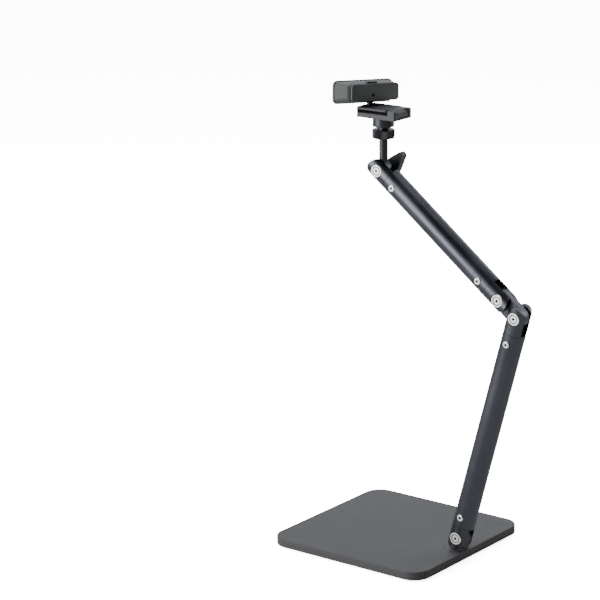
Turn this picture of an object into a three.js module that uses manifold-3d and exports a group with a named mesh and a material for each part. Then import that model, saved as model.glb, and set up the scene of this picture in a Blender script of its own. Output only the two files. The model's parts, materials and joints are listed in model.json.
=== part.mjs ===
// Webcam on a two-arm desk stand. Millimetres, +Z up, origin at the middle of the pad that rests on the desk.
// +Y is the side of the base plate that carries the arm, the lens looks towards -Y, and the arms move in a
// plane of constant X.
import * as THREE from 'three';
import { mergeVertices } from 'three/addons/utils/BufferGeometryUtils.js';
import Module from 'manifold-3d';

const wasm = await Module();
wasm.setup();

// ---------------------------------------------------------------- driving dimensions
const GAP = 0.3; // between two pieces that touch
const FIT = 0.2; // round a pin or a screw

const PLATE_SIZE = 200;
const PLATE_CORNER = 20;
const PLATE_THICK = 9.7;
const PLATE_EDGE = 1.6;
const PAD_THICK = 1.2;
const PAD_INSET = 5;

const ARM_X = 10; // plane of the arms
const ARM_SETBACK = 7.6; // base pivot to the rear edge of the plate
const BASE_PIVOT_RISE = 15.1; // base pivot above the plate
const FOOT_WIDTH = 21;
const FOOT_LENGTH = 27;
const FOOT_DEPTH = 5.4;
const FOOT_EDGE = 1.4; // foot to the rear edge of the plate
const LUG_SCREW = 5;
const LUG_SCREW_HEAD = 9.2;

const TUBE = 24.4;
const TUBE_WALL = 1.8;
const LOWER_ARM = 265.5; // pivot to pivot
const LINK_SPACE = 1.9; // between the round ends of the two forks at the elbow
const UPPER_ARM = 194.2; // pivot to pivot
const LOWER_LEAN = 15.35; // degrees from upright, towards +Y
const LINK_LEAN = -51.5;
const UPPER_LEAN = -52.3;

const TONGUE = 9;
const TONGUE_WIDTH = 21;
const WASHER = 0.6;
const PLUG_LENGTH = 22;
const PIVOT_HEAD = 14;
const PIVOT_HEAD_THICK = 1.8;
const PIVOT_HEAD_FACE = 11.2; // outer face of a pivot head, from the plane of the arms
const PIVOT_BOLT = 6;
const PIVOT_SLEEVE = 8.6;
const SMALL_HEAD = 7.5;
const SMALL_HEAD_THICK = 1.4;
const SMALL_SHANK = 4;
const SMALL_SPOT = 0.8; // depth of the flat under a small head
const END_FORK = { seam: 14.4, slot: 13.4, screw: 26.2 };
const ELBOW_FORK = { seam: 18, slot: 17, screw: 29.4 };

const POST = 9.4;
const POST_SETBACK = 1.8; // post axis behind the head pivot
const POST_TOP = 34; // heights in the head are above the head pivot
const STUD = 6.3;
const STUD_COVER = 1; // clip left over the end of the stud
const NUT = 24.3;
const NUT_HEIGHT = 9.4;
const NUT_NECK = 12;
const NUT_NECK_HEIGHT = 2.9;
const COLLAR = 23;
const COLLAR_HEIGHT = 9.5;
const KNOB_LENGTH = 41;
const KNOB_WIDTH = 18;
const KNOB_THICK = 11;
const KNOB_HUB = 12;
const KNOB_HUB_LENGTH = 4;
const KNOB_LEAN = 40;
const KNOB_STUD = 6;

const CLIP_WIDTH = 31;
const CLIP_CORNER = 2;
const CLIP_FRONT = 23.4; // from the post to the front end
const CLIP_REAR = 25.8;
const CLIP_BASE_THICK = 5;
const CLIP_THROAT = 3.6;
const JAW_WIDTH = 32;
const JAW_THICK = 2;
const JAW_LIP = 11.4;
const JAW_CORNER = 5;
const JAW_SWING = 1.2; // plate to ears, so that the jaw can open
const HINGE_PIN = 2.6;
const HINGE_KNUCKLE = 6.2;
const HINGE_EAR = 4.4;
const EAR_CORNER = 2.2;
const LEG_THICK = 2;
const LEG_TOP = 2.4; // below the top of the jaw
const LEG_RISE = 1.6; // pocket floor above the underside
const LEG_PIN = 1;
const LEG_NOTCH = 2.4; // finger gap along one side of the leg
const RUBBER_THICK = 0.8;
const RUBBER_INSET = 3;

const NECK_FORWARD = 17.7; // camera neck in front of the post
const NECK_DISC = 6.6;
const BALL = 6;
const BALL_RISE = 5.6; // ball centre above the jaw
const TILT_PIN = 1.8;
const CAMERA_PAN = -11; // degrees about +Z
const CAMERA_ROLL = -5; // degrees about +Y
const CAMERA_TILT = 4; // degrees about +X
const CAMERA_RISE = 8.8; // camera centre above the ball
const CAMERA_FORWARD = 2;

const BEZEL_WIDTH = 85;
const BEZEL_HEIGHT = 24.8;
const BEZEL_THICK = 2.9;
const BEZEL_CORNER = 6;
const CAMERA_FRONT = 11; // camera centre to the front face
const SHELL_LENGTH = 16.4;
const SHELL_INSET_X = 0.5; // shell inside the bezel's ends
const SHELL_INSET_Z = 1; // shell inside the bezel's top and bottom
const SHELL_REAR_WIDTH = 68;
const SHELL_REAR_HEIGHT = 18.4;
const SHELL_REAR_CORNER = 4;
const SHELL_WALL = 1.8;
const COVER_THICK = 2;
const COVER_SPIGOT = 0.7; // step of the cover inside the shell
const CABLE_HOLE = 3.2;
const CABLE_HOLE_X = 3.5;
const CABLE_HOLE_Z = -3;
const GROMMET_FLANGE = 5.4;
const LENS_OPENING = 18.6;
const LENS_RING = 17.8;
const LENS_RING_THICK = 1;
const LENS_BORE = 6.6;
const LENS_GLASS = 6;
const BARREL = 12;
const BARREL_LENGTH = 2;
const BOARD_WIDTH = 62;
const BOARD_HEIGHT = 14;
const BOARD_THICK = 1.2;
const SENSOR = 5;
const SENSOR_THICK = 0.7;
const BUTTON_LENGTH = 15;
const BUTTON_WIDTH = 5.4;
const BUTTON_Y = 4.2; // behind the camera centre
const BUTTON_PROUD = 1.5;
const BUTTON_TRAVEL = 0.8;

const SMALL_ROUND = 12; // sides of a small round piece, a middling one and a tube
const ROUND = 16;
const LARGE_ROUND = 28;

// ---------------------------------------------------------------- worked out from them
const rad = THREE.MathUtils.degToRad;
const tubeRadius = TUBE / 2;
const link = TUBE + LINK_SPACE; // pivot to pivot
const tubeBore = tubeRadius - TUBE_WALL;
const plateTop = PAD_THICK + GAP + PLATE_THICK;
const basePivot = { y: PLATE_SIZE / 2 - ARM_SETBACK, z: plateTop + BASE_PIVOT_RISE };
const slotWidth = TONGUE + 2 * (WASHER + 2 * FIT);
const spotFace = PIVOT_HEAD_FACE - PIVOT_HEAD_THICK - FIT;
const washerInner = TONGUE / 2 + FIT;
const nutBottom = POST_TOP + GAP;
const collarBottom = nutBottom + NUT_HEIGHT + NUT_NECK_HEIGHT + GAP;
const clipBottom = collarBottom + COLLAR_HEIGHT + GAP;
const throatBottom = clipBottom + CLIP_BASE_THICK;
const studTop = throatBottom - STUD_COVER;
const jawBottom = throatBottom + CLIP_THROAT;
const jawTop = jawBottom + JAW_THICK;
const jawFront = CLIP_FRONT + GAP + JAW_THICK;
const legAxis = {
  y: CLIP_REAR - LEG_THICK / 2 - GAP,
  z: clipBottom + LEG_RISE + GAP + LEG_THICK / 2,
};
const hinge = {
  y: legAxis.y - LEG_THICK / 2 - 2 * GAP - HINGE_KNUCKLE / 2,
  z: jawTop - HINGE_KNUCKLE / 2 - 0.2,
};
const earFront = hinge.y - HINGE_KNUCKLE / 2 - 0.6;
const ballHeight = jawTop + BALL_RISE;
const shellFront = -CAMERA_FRONT + BEZEL_THICK + GAP;
const shellRear = shellFront + SHELL_LENGTH;

// ---------------------------------------------------------------- materials
function finish(color, roughness, metalness) {
  return new THREE.MeshStandardMaterial({ color, roughness, metalness });
}

const powderCoat = finish(0x4a4b4e, 0.8, 0.2);
const padRubber = finish(0x1c1c1d, 0.95, 0);
const anodised = finish(0x2b2d33, 0.45, 0.7);
const steel = finish(0xc9c8c4, 0.3, 1);
const nylon = finish(0x2a2a2a, 0.7, 0);
const blackMetal = finish(0x26272b, 0.5, 0.6);
const clipPlastic = finish(0x3a3d42, 0.55, 0);
const knobPlastic = finish(0x3c4043, 0.6, 0);
const shellPlastic = finish(0x4c5154, 0.6, 0);
const bezelPlastic = finish(0x444a47, 0.6, 0);
const lensSilver = finish(0xa9a7a6, 0.35, 0.8);
const lensGlass = finish(0x101018, 0.05, 0);
const blackPlastic = finish(0x151516, 0.5, 0);
const boardGreen = finish(0x1e4a33, 0.6, 0);

// ---------------------------------------------------------------- solids
function toSolid(geometry) {
  const bare = geometry.clone();
  bare.deleteAttribute('normal');
  bare.deleteAttribute('uv');
  const merged = mergeVertices(bare, 1e-4);
  return new wasm.Manifold(new wasm.Mesh({
    numProp: 3,
    vertProperties: new Float32Array(merged.attributes.position.array),
    triVerts: new Uint32Array(merged.index.array),
  }));
}

function toGeometry(solid) {
  const mesh = solid.getMesh();
  const geometry = new THREE.BufferGeometry();
  geometry.setAttribute('position', new THREE.BufferAttribute(new Float32Array(mesh.vertProperties), 3));
  geometry.setIndex(new THREE.BufferAttribute(new Uint32Array(mesh.triVerts), 1));
  return geometry;
}

function join(...geometries) {
  return toGeometry(geometries.map(toSolid).reduce((whole, piece) => whole.add(piece)));
}

function cut(geometry, ...tools) {
  return toGeometry(tools.map(toSolid).reduce((whole, tool) => whole.subtract(tool), toSolid(geometry)));
}

function common(first, second) {
  return toGeometry(toSolid(first).intersect(toSolid(second)));
}

function box(x0, x1, y0, y1, z0, z1) {
  const geometry = new THREE.BoxGeometry(x1 - x0, y1 - y0, z1 - z0);
  return geometry.translate((x0 + x1) / 2, (y0 + y1) / 2, (z0 + z1) / 2);
}

function rodX(diameter, x0, x1, y = 0, z = 0, sides = ROUND) {
  const geometry = new THREE.CylinderGeometry(diameter / 2, diameter / 2, x1 - x0, sides);
  return geometry.rotateZ(-Math.PI / 2).translate((x0 + x1) / 2, y, z);
}

function rodY(diameter, y0, y1, x = 0, z = 0, sides = ROUND) {
  const geometry = new THREE.CylinderGeometry(diameter / 2, diameter / 2, y1 - y0, sides);
  return geometry.translate(x, (y0 + y1) / 2, z);
}

function rodZ(diameter, z0, z1, x = 0, y = 0, sides = ROUND) {
  const geometry = new THREE.CylinderGeometry(diameter / 2, diameter / 2, z1 - z0, sides);
  return geometry.rotateX(Math.PI / 2).translate(x, y, (z0 + z1) / 2);
}

function ringX(outer, inner, x0, x1, sides = ROUND) {
  return cut(rodX(outer, x0, x1, 0, 0, sides), rodX(inner, x0 - 1, x1 + 1, 0, 0, sides));
}

// A round piece about +Z from a profile of [radius, height] points.
function turned(profile, sides = LARGE_ROUND) {
  const points = profile.map(([radius, height]) => new THREE.Vector2(radius, height));
  return new THREE.LatheGeometry(points, sides).rotateX(Math.PI / 2);
}

function roundedShape(width, height, corner) {
  const x = width / 2;
  const y = height / 2;
  const shape = new THREE.Shape();
  shape.moveTo(x, -y + corner);
  shape.lineTo(x, y - corner);
  shape.absarc(x - corner, y - corner, corner, 0, Math.PI / 2);
  shape.lineTo(-x + corner, y);
  shape.absarc(-x + corner, y - corner, corner, Math.PI / 2, Math.PI);
  shape.lineTo(-x, -y + corner);
  shape.absarc(-x + corner, -y + corner, corner, Math.PI, 1.5 * Math.PI);
  shape.lineTo(x - corner, -y);
  shape.absarc(x - corner, -y + corner, corner, 1.5 * Math.PI, 2 * Math.PI);
  return shape;
}

// Extrusions that run along +Z, along +Y (shape drawn in X and Z) and along +X (shape drawn in Y and Z).
function slabZ(shape, z0, z1, curveSegments = 6) {
  return new THREE.ExtrudeGeometry(shape, { depth: z1 - z0, bevelEnabled: false, curveSegments })
    .translate(0, 0, z0);
}

function slabY(shape, y0, y1, curveSegments = 6) {
  return new THREE.ExtrudeGeometry(shape, { depth: y1 - y0, bevelEnabled: false, curveSegments })
    .rotateX(Math.PI / 2).translate(0, y1, 0);
}

function slabX(shape, x0, x1, curveSegments = 12) {
  return new THREE.ExtrudeGeometry(shape, { depth: x1 - x0, bevelEnabled: false, curveSegments })
    .rotateX(Math.PI / 2).rotateZ(Math.PI / 2).translate(x0, 0, 0);
}

function add(group, name, geometry, material) {
  const mesh = new THREE.Mesh(geometry, material);
  mesh.name = name;
  group.add(mesh);
  return mesh;
}

function frameAt(parent, x, y, z, lean = 0) {
  const group = new THREE.Group();
  group.position.set(x, y, z);
  group.rotation.x = -rad(lean);
  parent.add(group);
  return group;
}

// ---------------------------------------------------------------- base
function basePad() {
  const side = PLATE_SIZE - 2 * PAD_INSET;
  return slabZ(roundedShape(side, side, PLATE_CORNER - PAD_INSET), 0, PAD_THICK);
}

function footShape(clearance) {
  const width = FOOT_WIDTH + 2 * clearance;
  return roundedShape(width, FOOT_LENGTH + 2 * clearance, width / 2 - 0.01);
}

function footCentre() {
  return PLATE_SIZE / 2 - FOOT_EDGE - FOOT_LENGTH / 2;
}

function lugScrewPlaces() {
  const reach = FOOT_LENGTH / 2 - FOOT_WIDTH / 2 + 3;
  return [['front', footCentre() - reach], ['rear', footCentre() + reach]];
}

function basePlate() {
  const bevel = PLATE_EDGE;
  const bottom = PAD_THICK + GAP;
  const side = PLATE_SIZE - 2 * bevel;
  const blank = new THREE.ExtrudeGeometry(roundedShape(side, side, PLATE_CORNER - bevel), {
    depth: PLATE_THICK - 2 * bevel,
    bevelThickness: bevel,
    bevelSize: bevel,
    bevelSegments: 2,
    curveSegments: 8,
  }).translate(0, 0, bottom + bevel);
  const pocket = slabZ(footShape(GAP), plateTop - FOOT_DEPTH, plateTop + 1);
  pocket.translate(ARM_X, footCentre(), 0);
  const holes = lugScrewPlaces().flatMap(([, y]) => [
    rodZ(LUG_SCREW + 2 * FIT, bottom - 1, plateTop, ARM_X, y),
    rodZ(LUG_SCREW_HEAD + 2 * FIT, bottom - 1, bottom + 2.6, ARM_X, y),
  ]);
  return cut(blank, pocket, ...holes);
}

// The outline starts inside the foot, rises round the pivot and comes down inside the foot's rear end.
function lugTongueShape() {
  const radius = TONGUE_WIDTH / 2;
  const rootZ = -BASE_PIVOT_RISE - 2;
  const rearY = ARM_SETBACK - FOOT_EDGE - 0.8;
  const shape = new THREE.Shape();
  shape.moveTo(-radius, rootZ);
  shape.lineTo(rearY, rootZ);
  shape.lineTo(rearY, -BASE_PIVOT_RISE);
  shape.lineTo(radius * Math.cos(rad(25)), -radius * Math.sin(rad(25)));
  shape.absarc(0, 0, radius, -rad(25), Math.PI);
  shape.lineTo(-radius, rootZ);
  return shape;
}

function baseLug() {
  const foot = slabZ(footShape(0), plateTop - FOOT_DEPTH + GAP, plateTop).translate(0, footCentre(), 0);
  const tongue = slabX(lugTongueShape(), -TONGUE / 2, TONGUE / 2).translate(0, basePivot.y, basePivot.z);
  const bore = rodX(PIVOT_SLEEVE + 2 * FIT, -TUBE, TUBE, basePivot.y, basePivot.z);
  const taps = lugScrewPlaces().map(([, y]) => rodZ(LUG_SCREW + 2 * FIT, 0, plateTop - 0.8, 0, y));
  return cut(join(foot, tongue), bore, ...taps).translate(ARM_X, 0, 0);
}

function lugScrew(y) {
  const bottom = PAD_THICK + GAP + 0.3;
  const socket = rodZ(3.4, bottom - 1, bottom + 1.3, 0, 0, 6);
  const screw = turned([[0, 0], [LUG_SCREW_HEAD / 2, 0], [LUG_SCREW_HEAD / 2, 2], [LUG_SCREW / 2, 2],
    [LUG_SCREW / 2, plateTop - 1.4 - bottom], [0, plateTop - 1.4 - bottom]], SMALL_ROUND);
  return cut(screw.translate(0, 0, bottom), socket).translate(ARM_X, y, 0);
}

// ---------------------------------------------------------------- arms
// A fork with its pivot at the origin. Its ears end round the pivot and its plug goes up into the tube.
function fork({ seam, slot, screw }) {
  const ears = common(
    rodZ(TUBE, -tubeRadius, seam, 0, 0, LARGE_ROUND),
    join(rodX(TUBE, -TUBE, TUBE, 0, 0, LARGE_ROUND), box(-TUBE, TUBE, -TUBE, TUBE, 0, seam + 1)),
  );
  const plug = rodZ(2 * (tubeBore - FIT), seam - 1, seam + PLUG_LENGTH, 0, 0, ROUND);
  return cut(
    join(ears, plug),
    box(-slotWidth / 2, slotWidth / 2, -TUBE, TUBE, -TUBE, slot),
    rodX(PIVOT_BOLT + 2 * FIT, 0, TUBE),
    rodX(PIVOT_SLEEVE + 2 * FIT, -TUBE, 0),
    rodX(PIVOT_HEAD + 3 * FIT, spotFace, TUBE),
    rodX(PIVOT_HEAD + 3 * FIT, -TUBE, -spotFace),
    rodX(SMALL_SHANK + 3 * FIT, -TUBE, TUBE, 0, screw, SMALL_ROUND),
  );
}

function armTube(length, lowerFork, upperFork) {
  const z0 = lowerFork.seam + GAP;
  const z1 = length - upperFork.seam - GAP;
  const flat = tubeRadius - SMALL_SPOT;
  const cuts = [rodZ(2 * tubeBore, z0 - 1, z1 + 1, 0, 0, LARGE_ROUND)];
  for (const z of [lowerFork.screw, length - upperFork.screw]) {
    cuts.push(rodX(SMALL_SHANK + 3 * FIT, -TUBE, TUBE, 0, z, SMALL_ROUND));
    cuts.push(rodX(SMALL_HEAD + 4 * FIT, flat, TUBE, 0, z, SMALL_ROUND));
    cuts.push(rodX(SMALL_HEAD + 4 * FIT, -TUBE, -flat, 0, z, SMALL_ROUND));
  }
  return cut(rodZ(TUBE, z0, z1, 0, 0, LARGE_ROUND), ...cuts);
}

// The screw on the +X side at the given height along the arm; side -1 turns it to the -X side.
function smallScrew(side, z) {
  const seat = tubeRadius - SMALL_SPOT + FIT;
  const top = seat + SMALL_HEAD_THICK;
  const head = SMALL_HEAD / 2;
  const shank = SMALL_SHANK / 2;
  const tip = seat - 7;
  const body = turned([[0, tip], [shank, tip], [shank, seat], [head, seat], [head, top - 0.5],
    [head - 0.7, top], [0, top]], SMALL_ROUND);
  const socket = rodZ(2.9, top - 1, top + 1, 0, 0, 6);
  return cut(body, socket).rotateY(side * Math.PI / 2).translate(0, 0, z);
}

function armScrews(group, name, z) {
  add(group, `${name}_screw_right`, smallScrew(1, z), steel);
  add(group, `${name}_screw_left`, smallScrew(-1, z), steel);
}

function arm(group, name, length, lowerFork, upperFork) {
  add(group, `${name}_tube`, armTube(length, lowerFork, upperFork), anodised);
  add(group, `${name}_bottom_fork`, fork(lowerFork), anodised);
  const top = frameAt(group, 0, 0, length, 180);
  add(top, `${name}_top_fork`, fork(upperFork), anodised);
  armScrews(group, `${name}_bottom`, lowerFork.screw);
  armScrews(group, `${name}_top`, length - upperFork.screw);
}

// ---------------------------------------------------------------- pivots
function pivotBolt() {
  const seat = PIVOT_HEAD_FACE - PIVOT_HEAD_THICK;
  const tip = -PIVOT_HEAD_FACE + PIVOT_HEAD_THICK + 1.5;
  const bolt = join(rodX(PIVOT_HEAD, seat, PIVOT_HEAD_FACE), rodX(PIVOT_BOLT, tip, seat + 1));
  return cut(bolt, rodX(4.6, PIVOT_HEAD_FACE - 2.4, TUBE, 0, 0, 6));
}

function pivotNut() {
  const seat = PIVOT_HEAD_FACE - PIVOT_HEAD_THICK;
  const nut = join(
    rodX(PIVOT_HEAD, -PIVOT_HEAD_FACE, -seat),
    rodX(PIVOT_SLEEVE, -seat - 1, TONGUE / 2 - FIT),
  );
  return cut(nut, rodX(PIVOT_BOLT + 2 * FIT, -seat, TUBE), rodX(4.6, -TUBE, -PIVOT_HEAD_FACE + 1.2, 0, 0, 6));
}

function washer(side) {
  const near = side * washerInner;
  const far = side * (washerInner + WASHER);
  return ringX(PIVOT_HEAD + 1, PIVOT_SLEEVE + 2 * FIT, Math.min(near, far), Math.max(near, far));
}

function pivot(group, name) {
  add(group, `${name}_pivot_bolt`, pivotBolt(), steel);
  add(group, `${name}_pivot_nut`, pivotNut(), steel);
  add(group, `${name}_washer_right`, washer(1), nylon);
  add(group, `${name}_washer_left`, washer(-1), nylon);
}

function elbowLink() {
  const plate = slabX(roundedShape(TONGUE_WIDTH, link + TONGUE_WIDTH, TONGUE_WIDTH / 2 - 0.01), -TONGUE / 2,
    TONGUE / 2).translate(0, 0, link / 2);
  const bores = [0, link].map((z) => rodX(PIVOT_SLEEVE + 2 * FIT, -TUBE, TUBE, 0, z));
  return cut(plate, ...bores);
}

// ---------------------------------------------------------------- head post, nut and knob
function headPost() {
  const eye = rodX(TONGUE_WIDTH, -TONGUE / 2, TONGUE / 2, 0, 0, LARGE_ROUND);
  const post = turned([[0, 6], [POST / 2, 6], [POST / 2, POST_TOP], [STUD / 2, POST_TOP],
    [STUD / 2, studTop], [0, studTop]], ROUND).translate(0, POST_SETBACK, 0);
  return cut(join(eye, post), rodX(PIVOT_SLEEVE + 2 * FIT, -TUBE, TUBE));
}

function thumbNut() {
  const top = nutBottom + NUT_HEIGHT;
  const body = turned([[0, nutBottom], [NUT / 2 - 0.6, nutBottom], [NUT / 2, nutBottom + 0.6],
    [NUT / 2, top - 0.6], [NUT / 2 - 0.6, top], [NUT_NECK / 2, top], [NUT_NECK / 2, top + NUT_NECK_HEIGHT],
    [0, top + NUT_NECK_HEIGHT]]);
  return cut(body, rodZ(STUD + 2 * FIT, nutBottom - 1, top + NUT_NECK_HEIGHT + 1));
}

function clipCollar() {
  const top = collarBottom + COLLAR_HEIGHT;
  const body = turned([[0, collarBottom], [COLLAR / 2 - 0.5, collarBottom], [COLLAR / 2, collarBottom + 0.5],
    [COLLAR / 2, top], [0, top]]);
  return cut(body, rodZ(STUD + 2 * FIT, collarBottom - 1, top + 1));
}

// A knob with two blunt wings, on a hub that bears on the fork's left spot face.
function clampKnob() {
  const x1 = -tubeRadius - KNOB_HUB_LENGTH;
  const x0 = x1 - KNOB_THICK;
  const half = KNOB_LENGTH / 2;
  const tip = 2.6;
  const shape = new THREE.Shape();
  shape.moveTo(-tip, -half);
  shape.lineTo(tip, -half);
  shape.quadraticCurveTo(KNOB_WIDTH * 0.3, -half * 0.45, KNOB_WIDTH / 2, 0);
  shape.quadraticCurveTo(KNOB_WIDTH * 0.3, half * 0.45, tip, half);
  shape.lineTo(-tip, half);
  shape.quadraticCurveTo(-KNOB_WIDTH * 0.3, half * 0.45, -KNOB_WIDTH / 2, 0);
  shape.quadraticCurveTo(-KNOB_WIDTH * 0.3, -half * 0.45, -tip, -half);
  const wings = slabX(shape, x0, x1, 6).rotateX(-rad(KNOB_LEAN));
  const hub = rodX(KNOB_HUB, x1 - 1, -spotFace - FIT);
  return cut(join(wings, hub), rodX(KNOB_STUD + 2 * FIT, x0 + 3, 0));
}

// The long bolt of the head pivot: a disc head on the right, a stud into the knob on the left.
function headBolt() {
  const seat = PIVOT_HEAD_FACE - PIVOT_HEAD_THICK;
  const tip = -tubeRadius - KNOB_HUB_LENGTH - KNOB_THICK + 3.6;
  const bolt = join(rodX(PIVOT_HEAD, seat, PIVOT_HEAD_FACE), rodX(KNOB_STUD, tip, seat + 1));
  return cut(bolt, rodX(4.6, PIVOT_HEAD_FACE - 2.4, TUBE, 0, 0, 6));
}

function headBush() {
  return ringX(PIVOT_SLEEVE, KNOB_STUD + 2 * FIT, -TONGUE / 2 + FIT, TONGUE / 2 - FIT);
}

// ---------------------------------------------------------------- clip
function clipBase() {
  const width = CLIP_WIDTH;
  const length = CLIP_FRONT + CLIP_REAR;
  const slab = slabZ(roundedShape(width, length, CLIP_CORNER), clipBottom, throatBottom)
    .translate(0, (CLIP_REAR - CLIP_FRONT) / 2, 0);
  const earShape = new THREE.Shape();
  const rear = CLIP_REAR;
  const top = hinge.z + HINGE_KNUCKLE / 2;
  earShape.moveTo(earFront, throatBottom - 1);
  earShape.lineTo(rear, throatBottom - 1);
  earShape.lineTo(rear, top - EAR_CORNER);
  earShape.absarc(rear - EAR_CORNER, top - EAR_CORNER, EAR_CORNER, 0, Math.PI / 2);
  earShape.lineTo(earFront, top);
  earShape.lineTo(earFront, throatBottom - 1);
  const inner = width / 2 - HINGE_EAR;
  const ears = [slabX(earShape, inner, width / 2, 6), slabX(earShape, -width / 2, -inner, 6)];
  const corners = slabZ(roundedShape(width, length, CLIP_CORNER), clipBottom - 1, top + 2)
    .translate(0, (CLIP_REAR - CLIP_FRONT) / 2, 0);
  const body = common(join(slab, ...ears), corners);
  const legPocket = box(-inner + 0.8, inner - 0.8, CLIP_REAR - LEG_THICK - 2 * GAP, CLIP_REAR + 1,
    clipBottom + LEG_RISE, jawTop + 5);
  return cut(
    body,
    rodX(HINGE_PIN + 2 * FIT, -width / 2 + 1, width / 2 - 1, hinge.y, hinge.z, SMALL_ROUND),
    rodX(HINGE_KNUCKLE + 2 * GAP, -inner, inner, hinge.y, hinge.z),
    legPocket,
    rubberBlock(FIT, throatBottom - RUBBER_THICK, throatBottom + 0.5),
    rodX(LEG_PIN + 2 * FIT, -width / 2 + 2.5, width / 2 - 2.5, legAxis.y, legAxis.z, SMALL_ROUND),
    rodZ(STUD + 3 * FIT, clipBottom - 1, throatBottom + 1, 0, 0, SMALL_ROUND),
  );
}

// The folding leg stands in a pocket of the clip's rear face and swings out on a pin along its lower edge.
function clipLeg() {
  const half = CLIP_WIDTH / 2 - HINGE_EAR - 0.8 - GAP;
  const { y, z } = legAxis;
  const thick = LEG_THICK;
  const top = jawTop - LEG_TOP;
  const panel = box(-half, half, y - thick / 2, y + thick / 2, z, top);
  const knuckle = rodX(thick, -half, half, y, z, SMALL_ROUND);
  const notch = box(-half - 1, -half + LEG_NOTCH, y - thick, y + thick, z + thick, top + 1);
  const bore = rodX(LEG_PIN + 2 * FIT, -half - 1, half + 1, y, z, SMALL_ROUND);
  return cut(join(panel, knuckle), bore, notch);
}

function legPin() {
  const reach = CLIP_WIDTH / 2 - 2.5 - GAP;
  const { y, z } = legAxis;
  return rodX(LEG_PIN, -reach, reach, y, z, SMALL_ROUND);
}

function hingePin() {
  const reach = CLIP_WIDTH / 2 - 1 - GAP;
  return rodX(HINGE_PIN, -reach, reach, hinge.y, hinge.z, SMALL_ROUND);
}

// The jaw is a thin plate with a lip that hooks over the front of the clip and a knuckle between the ears.
function clipJaw() {
  const half = JAW_WIDTH / 2;
  const plateRear = earFront - JAW_SWING;
  const plate = slabZ(roundedShape(JAW_WIDTH, jawFront + plateRear, 2.5), jawBottom, jawTop)
    .translate(0, (plateRear - jawFront) / 2, 0);
  const lipShape = roundedShape(JAW_WIDTH, JAW_LIP + 4, 2.5);
  const lip = common(
    slabY(lipShape, -jawFront, -jawFront + JAW_THICK).translate(0, 0, jawTop - JAW_LIP / 2 + 2),
    box(-half - 1, half + 1, -jawFront - 1, 0, 0, jawTop),
  );
  const inner = CLIP_WIDTH / 2 - HINGE_EAR - GAP;
  const web = box(-inner, inner, plateRear - 4, hinge.y, jawTop - JAW_THICK, jawTop);
  const knuckle = rodX(HINGE_KNUCKLE, -inner, inner, hinge.y, hinge.z);
  const socket = rodZ(4 + 2 * FIT, jawBottom - 1, jawTop + 1, 0, -NECK_FORWARD);
  const rounded = slabZ(roundedShape(JAW_WIDTH, jawFront + CLIP_REAR, JAW_CORNER), 0, 2 * jawTop)
    .translate(0, (CLIP_REAR - jawFront) / 2, 0);
  const bore = rodX(HINGE_PIN + 2 * FIT, -half, half, hinge.y, hinge.z, SMALL_ROUND);
  return cut(common(join(plate, lip, web, knuckle), rounded), bore, socket);
}

// The rubber sheet lies in a shallow recess of the clip's upper face.
function rubberBlock(clearance, z0, z1) {
  const length = CLIP_FRONT + earFront - RUBBER_INSET * 2 + 2 * clearance;
  const shape = roundedShape(CLIP_WIDTH - RUBBER_INSET * 2 + 2 * clearance, length, 2);
  return slabZ(shape, z0, z1, 3).translate(0, (earFront - CLIP_FRONT) / 2, 0);
}

function clipRubber() {
  const z0 = throatBottom - RUBBER_THICK + FIT;
  return cut(rubberBlock(0, z0, z0 + RUBBER_THICK), rodZ(STUD + 2, z0 - 1, z0 + 3));
}

// ---------------------------------------------------------------- camera neck
// Origin of these pieces: the ball's centre.
function neckCup() {
  const disc = -BALL_RISE + GAP;
  const body = turned([[0, -BALL_RISE - JAW_THICK + 0.3], [2, -BALL_RISE - JAW_THICK + 0.3], [2, disc],
    [NECK_DISC / 2, disc], [NECK_DISC / 2, -1.9], [0, -1.9]], ROUND);
  return cut(body, new THREE.SphereGeometry(BALL / 2 + GAP, 16, 10));
}

function neckBall() {
  const bore = rodX(TILT_PIN + 2 * FIT, -BALL, BALL, 0, 0, SMALL_ROUND);
  return cut(new THREE.SphereGeometry(BALL / 2, 16, 10), bore);
}

function tiltPin() {
  return rodX(TILT_PIN, -5.3, 5.3, 0, 0, SMALL_ROUND);
}

// ---------------------------------------------------------------- camera
// Origin of these pieces: the camera's centre. Front faces -Y.
function shellSize(y, inset) {
  const share = (y - shellFront) / SHELL_LENGTH;
  const mix = (front, rear) => THREE.MathUtils.lerp(front, rear, share) - 2 * inset;
  return {
    width: mix(BEZEL_WIDTH - 2 * SHELL_INSET_X, SHELL_REAR_WIDTH),
    height: mix(BEZEL_HEIGHT - 2 * SHELL_INSET_Z, SHELL_REAR_HEIGHT),
  };
}

// A rounded block whose section shrinks from front to rear.
function taperedBlock(y0, y1, inset) {
  const front = shellSize(y0, inset);
  const rear = shellSize(y1, inset);
  const corner = THREE.MathUtils.lerp(BEZEL_CORNER, SHELL_REAR_CORNER, 0.5) - inset;
  const geometry = slabY(roundedShape(front.width, front.height, corner), y0, y1, 5);
  const place = geometry.attributes.position;
  for (let i = 0; i < place.count; i += 1) {
    const share = (place.getY(i) - y0) / (y1 - y0);
    place.setX(i, place.getX(i) * THREE.MathUtils.lerp(1, rear.width / front.width, share));
    place.setZ(i, place.getZ(i) * THREE.MathUtils.lerp(1, rear.height / front.height, share));
  }
  return geometry;
}

function buttonTop() {
  return shellSize(BUTTON_Y, 0).height / 2 + BUTTON_PROUD;
}

function buttonShape(clearance) {
  const width = BUTTON_WIDTH + 2 * clearance;
  return roundedShape(BUTTON_LENGTH + 2 * clearance, width, width / 2 - 0.01);
}

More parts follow.
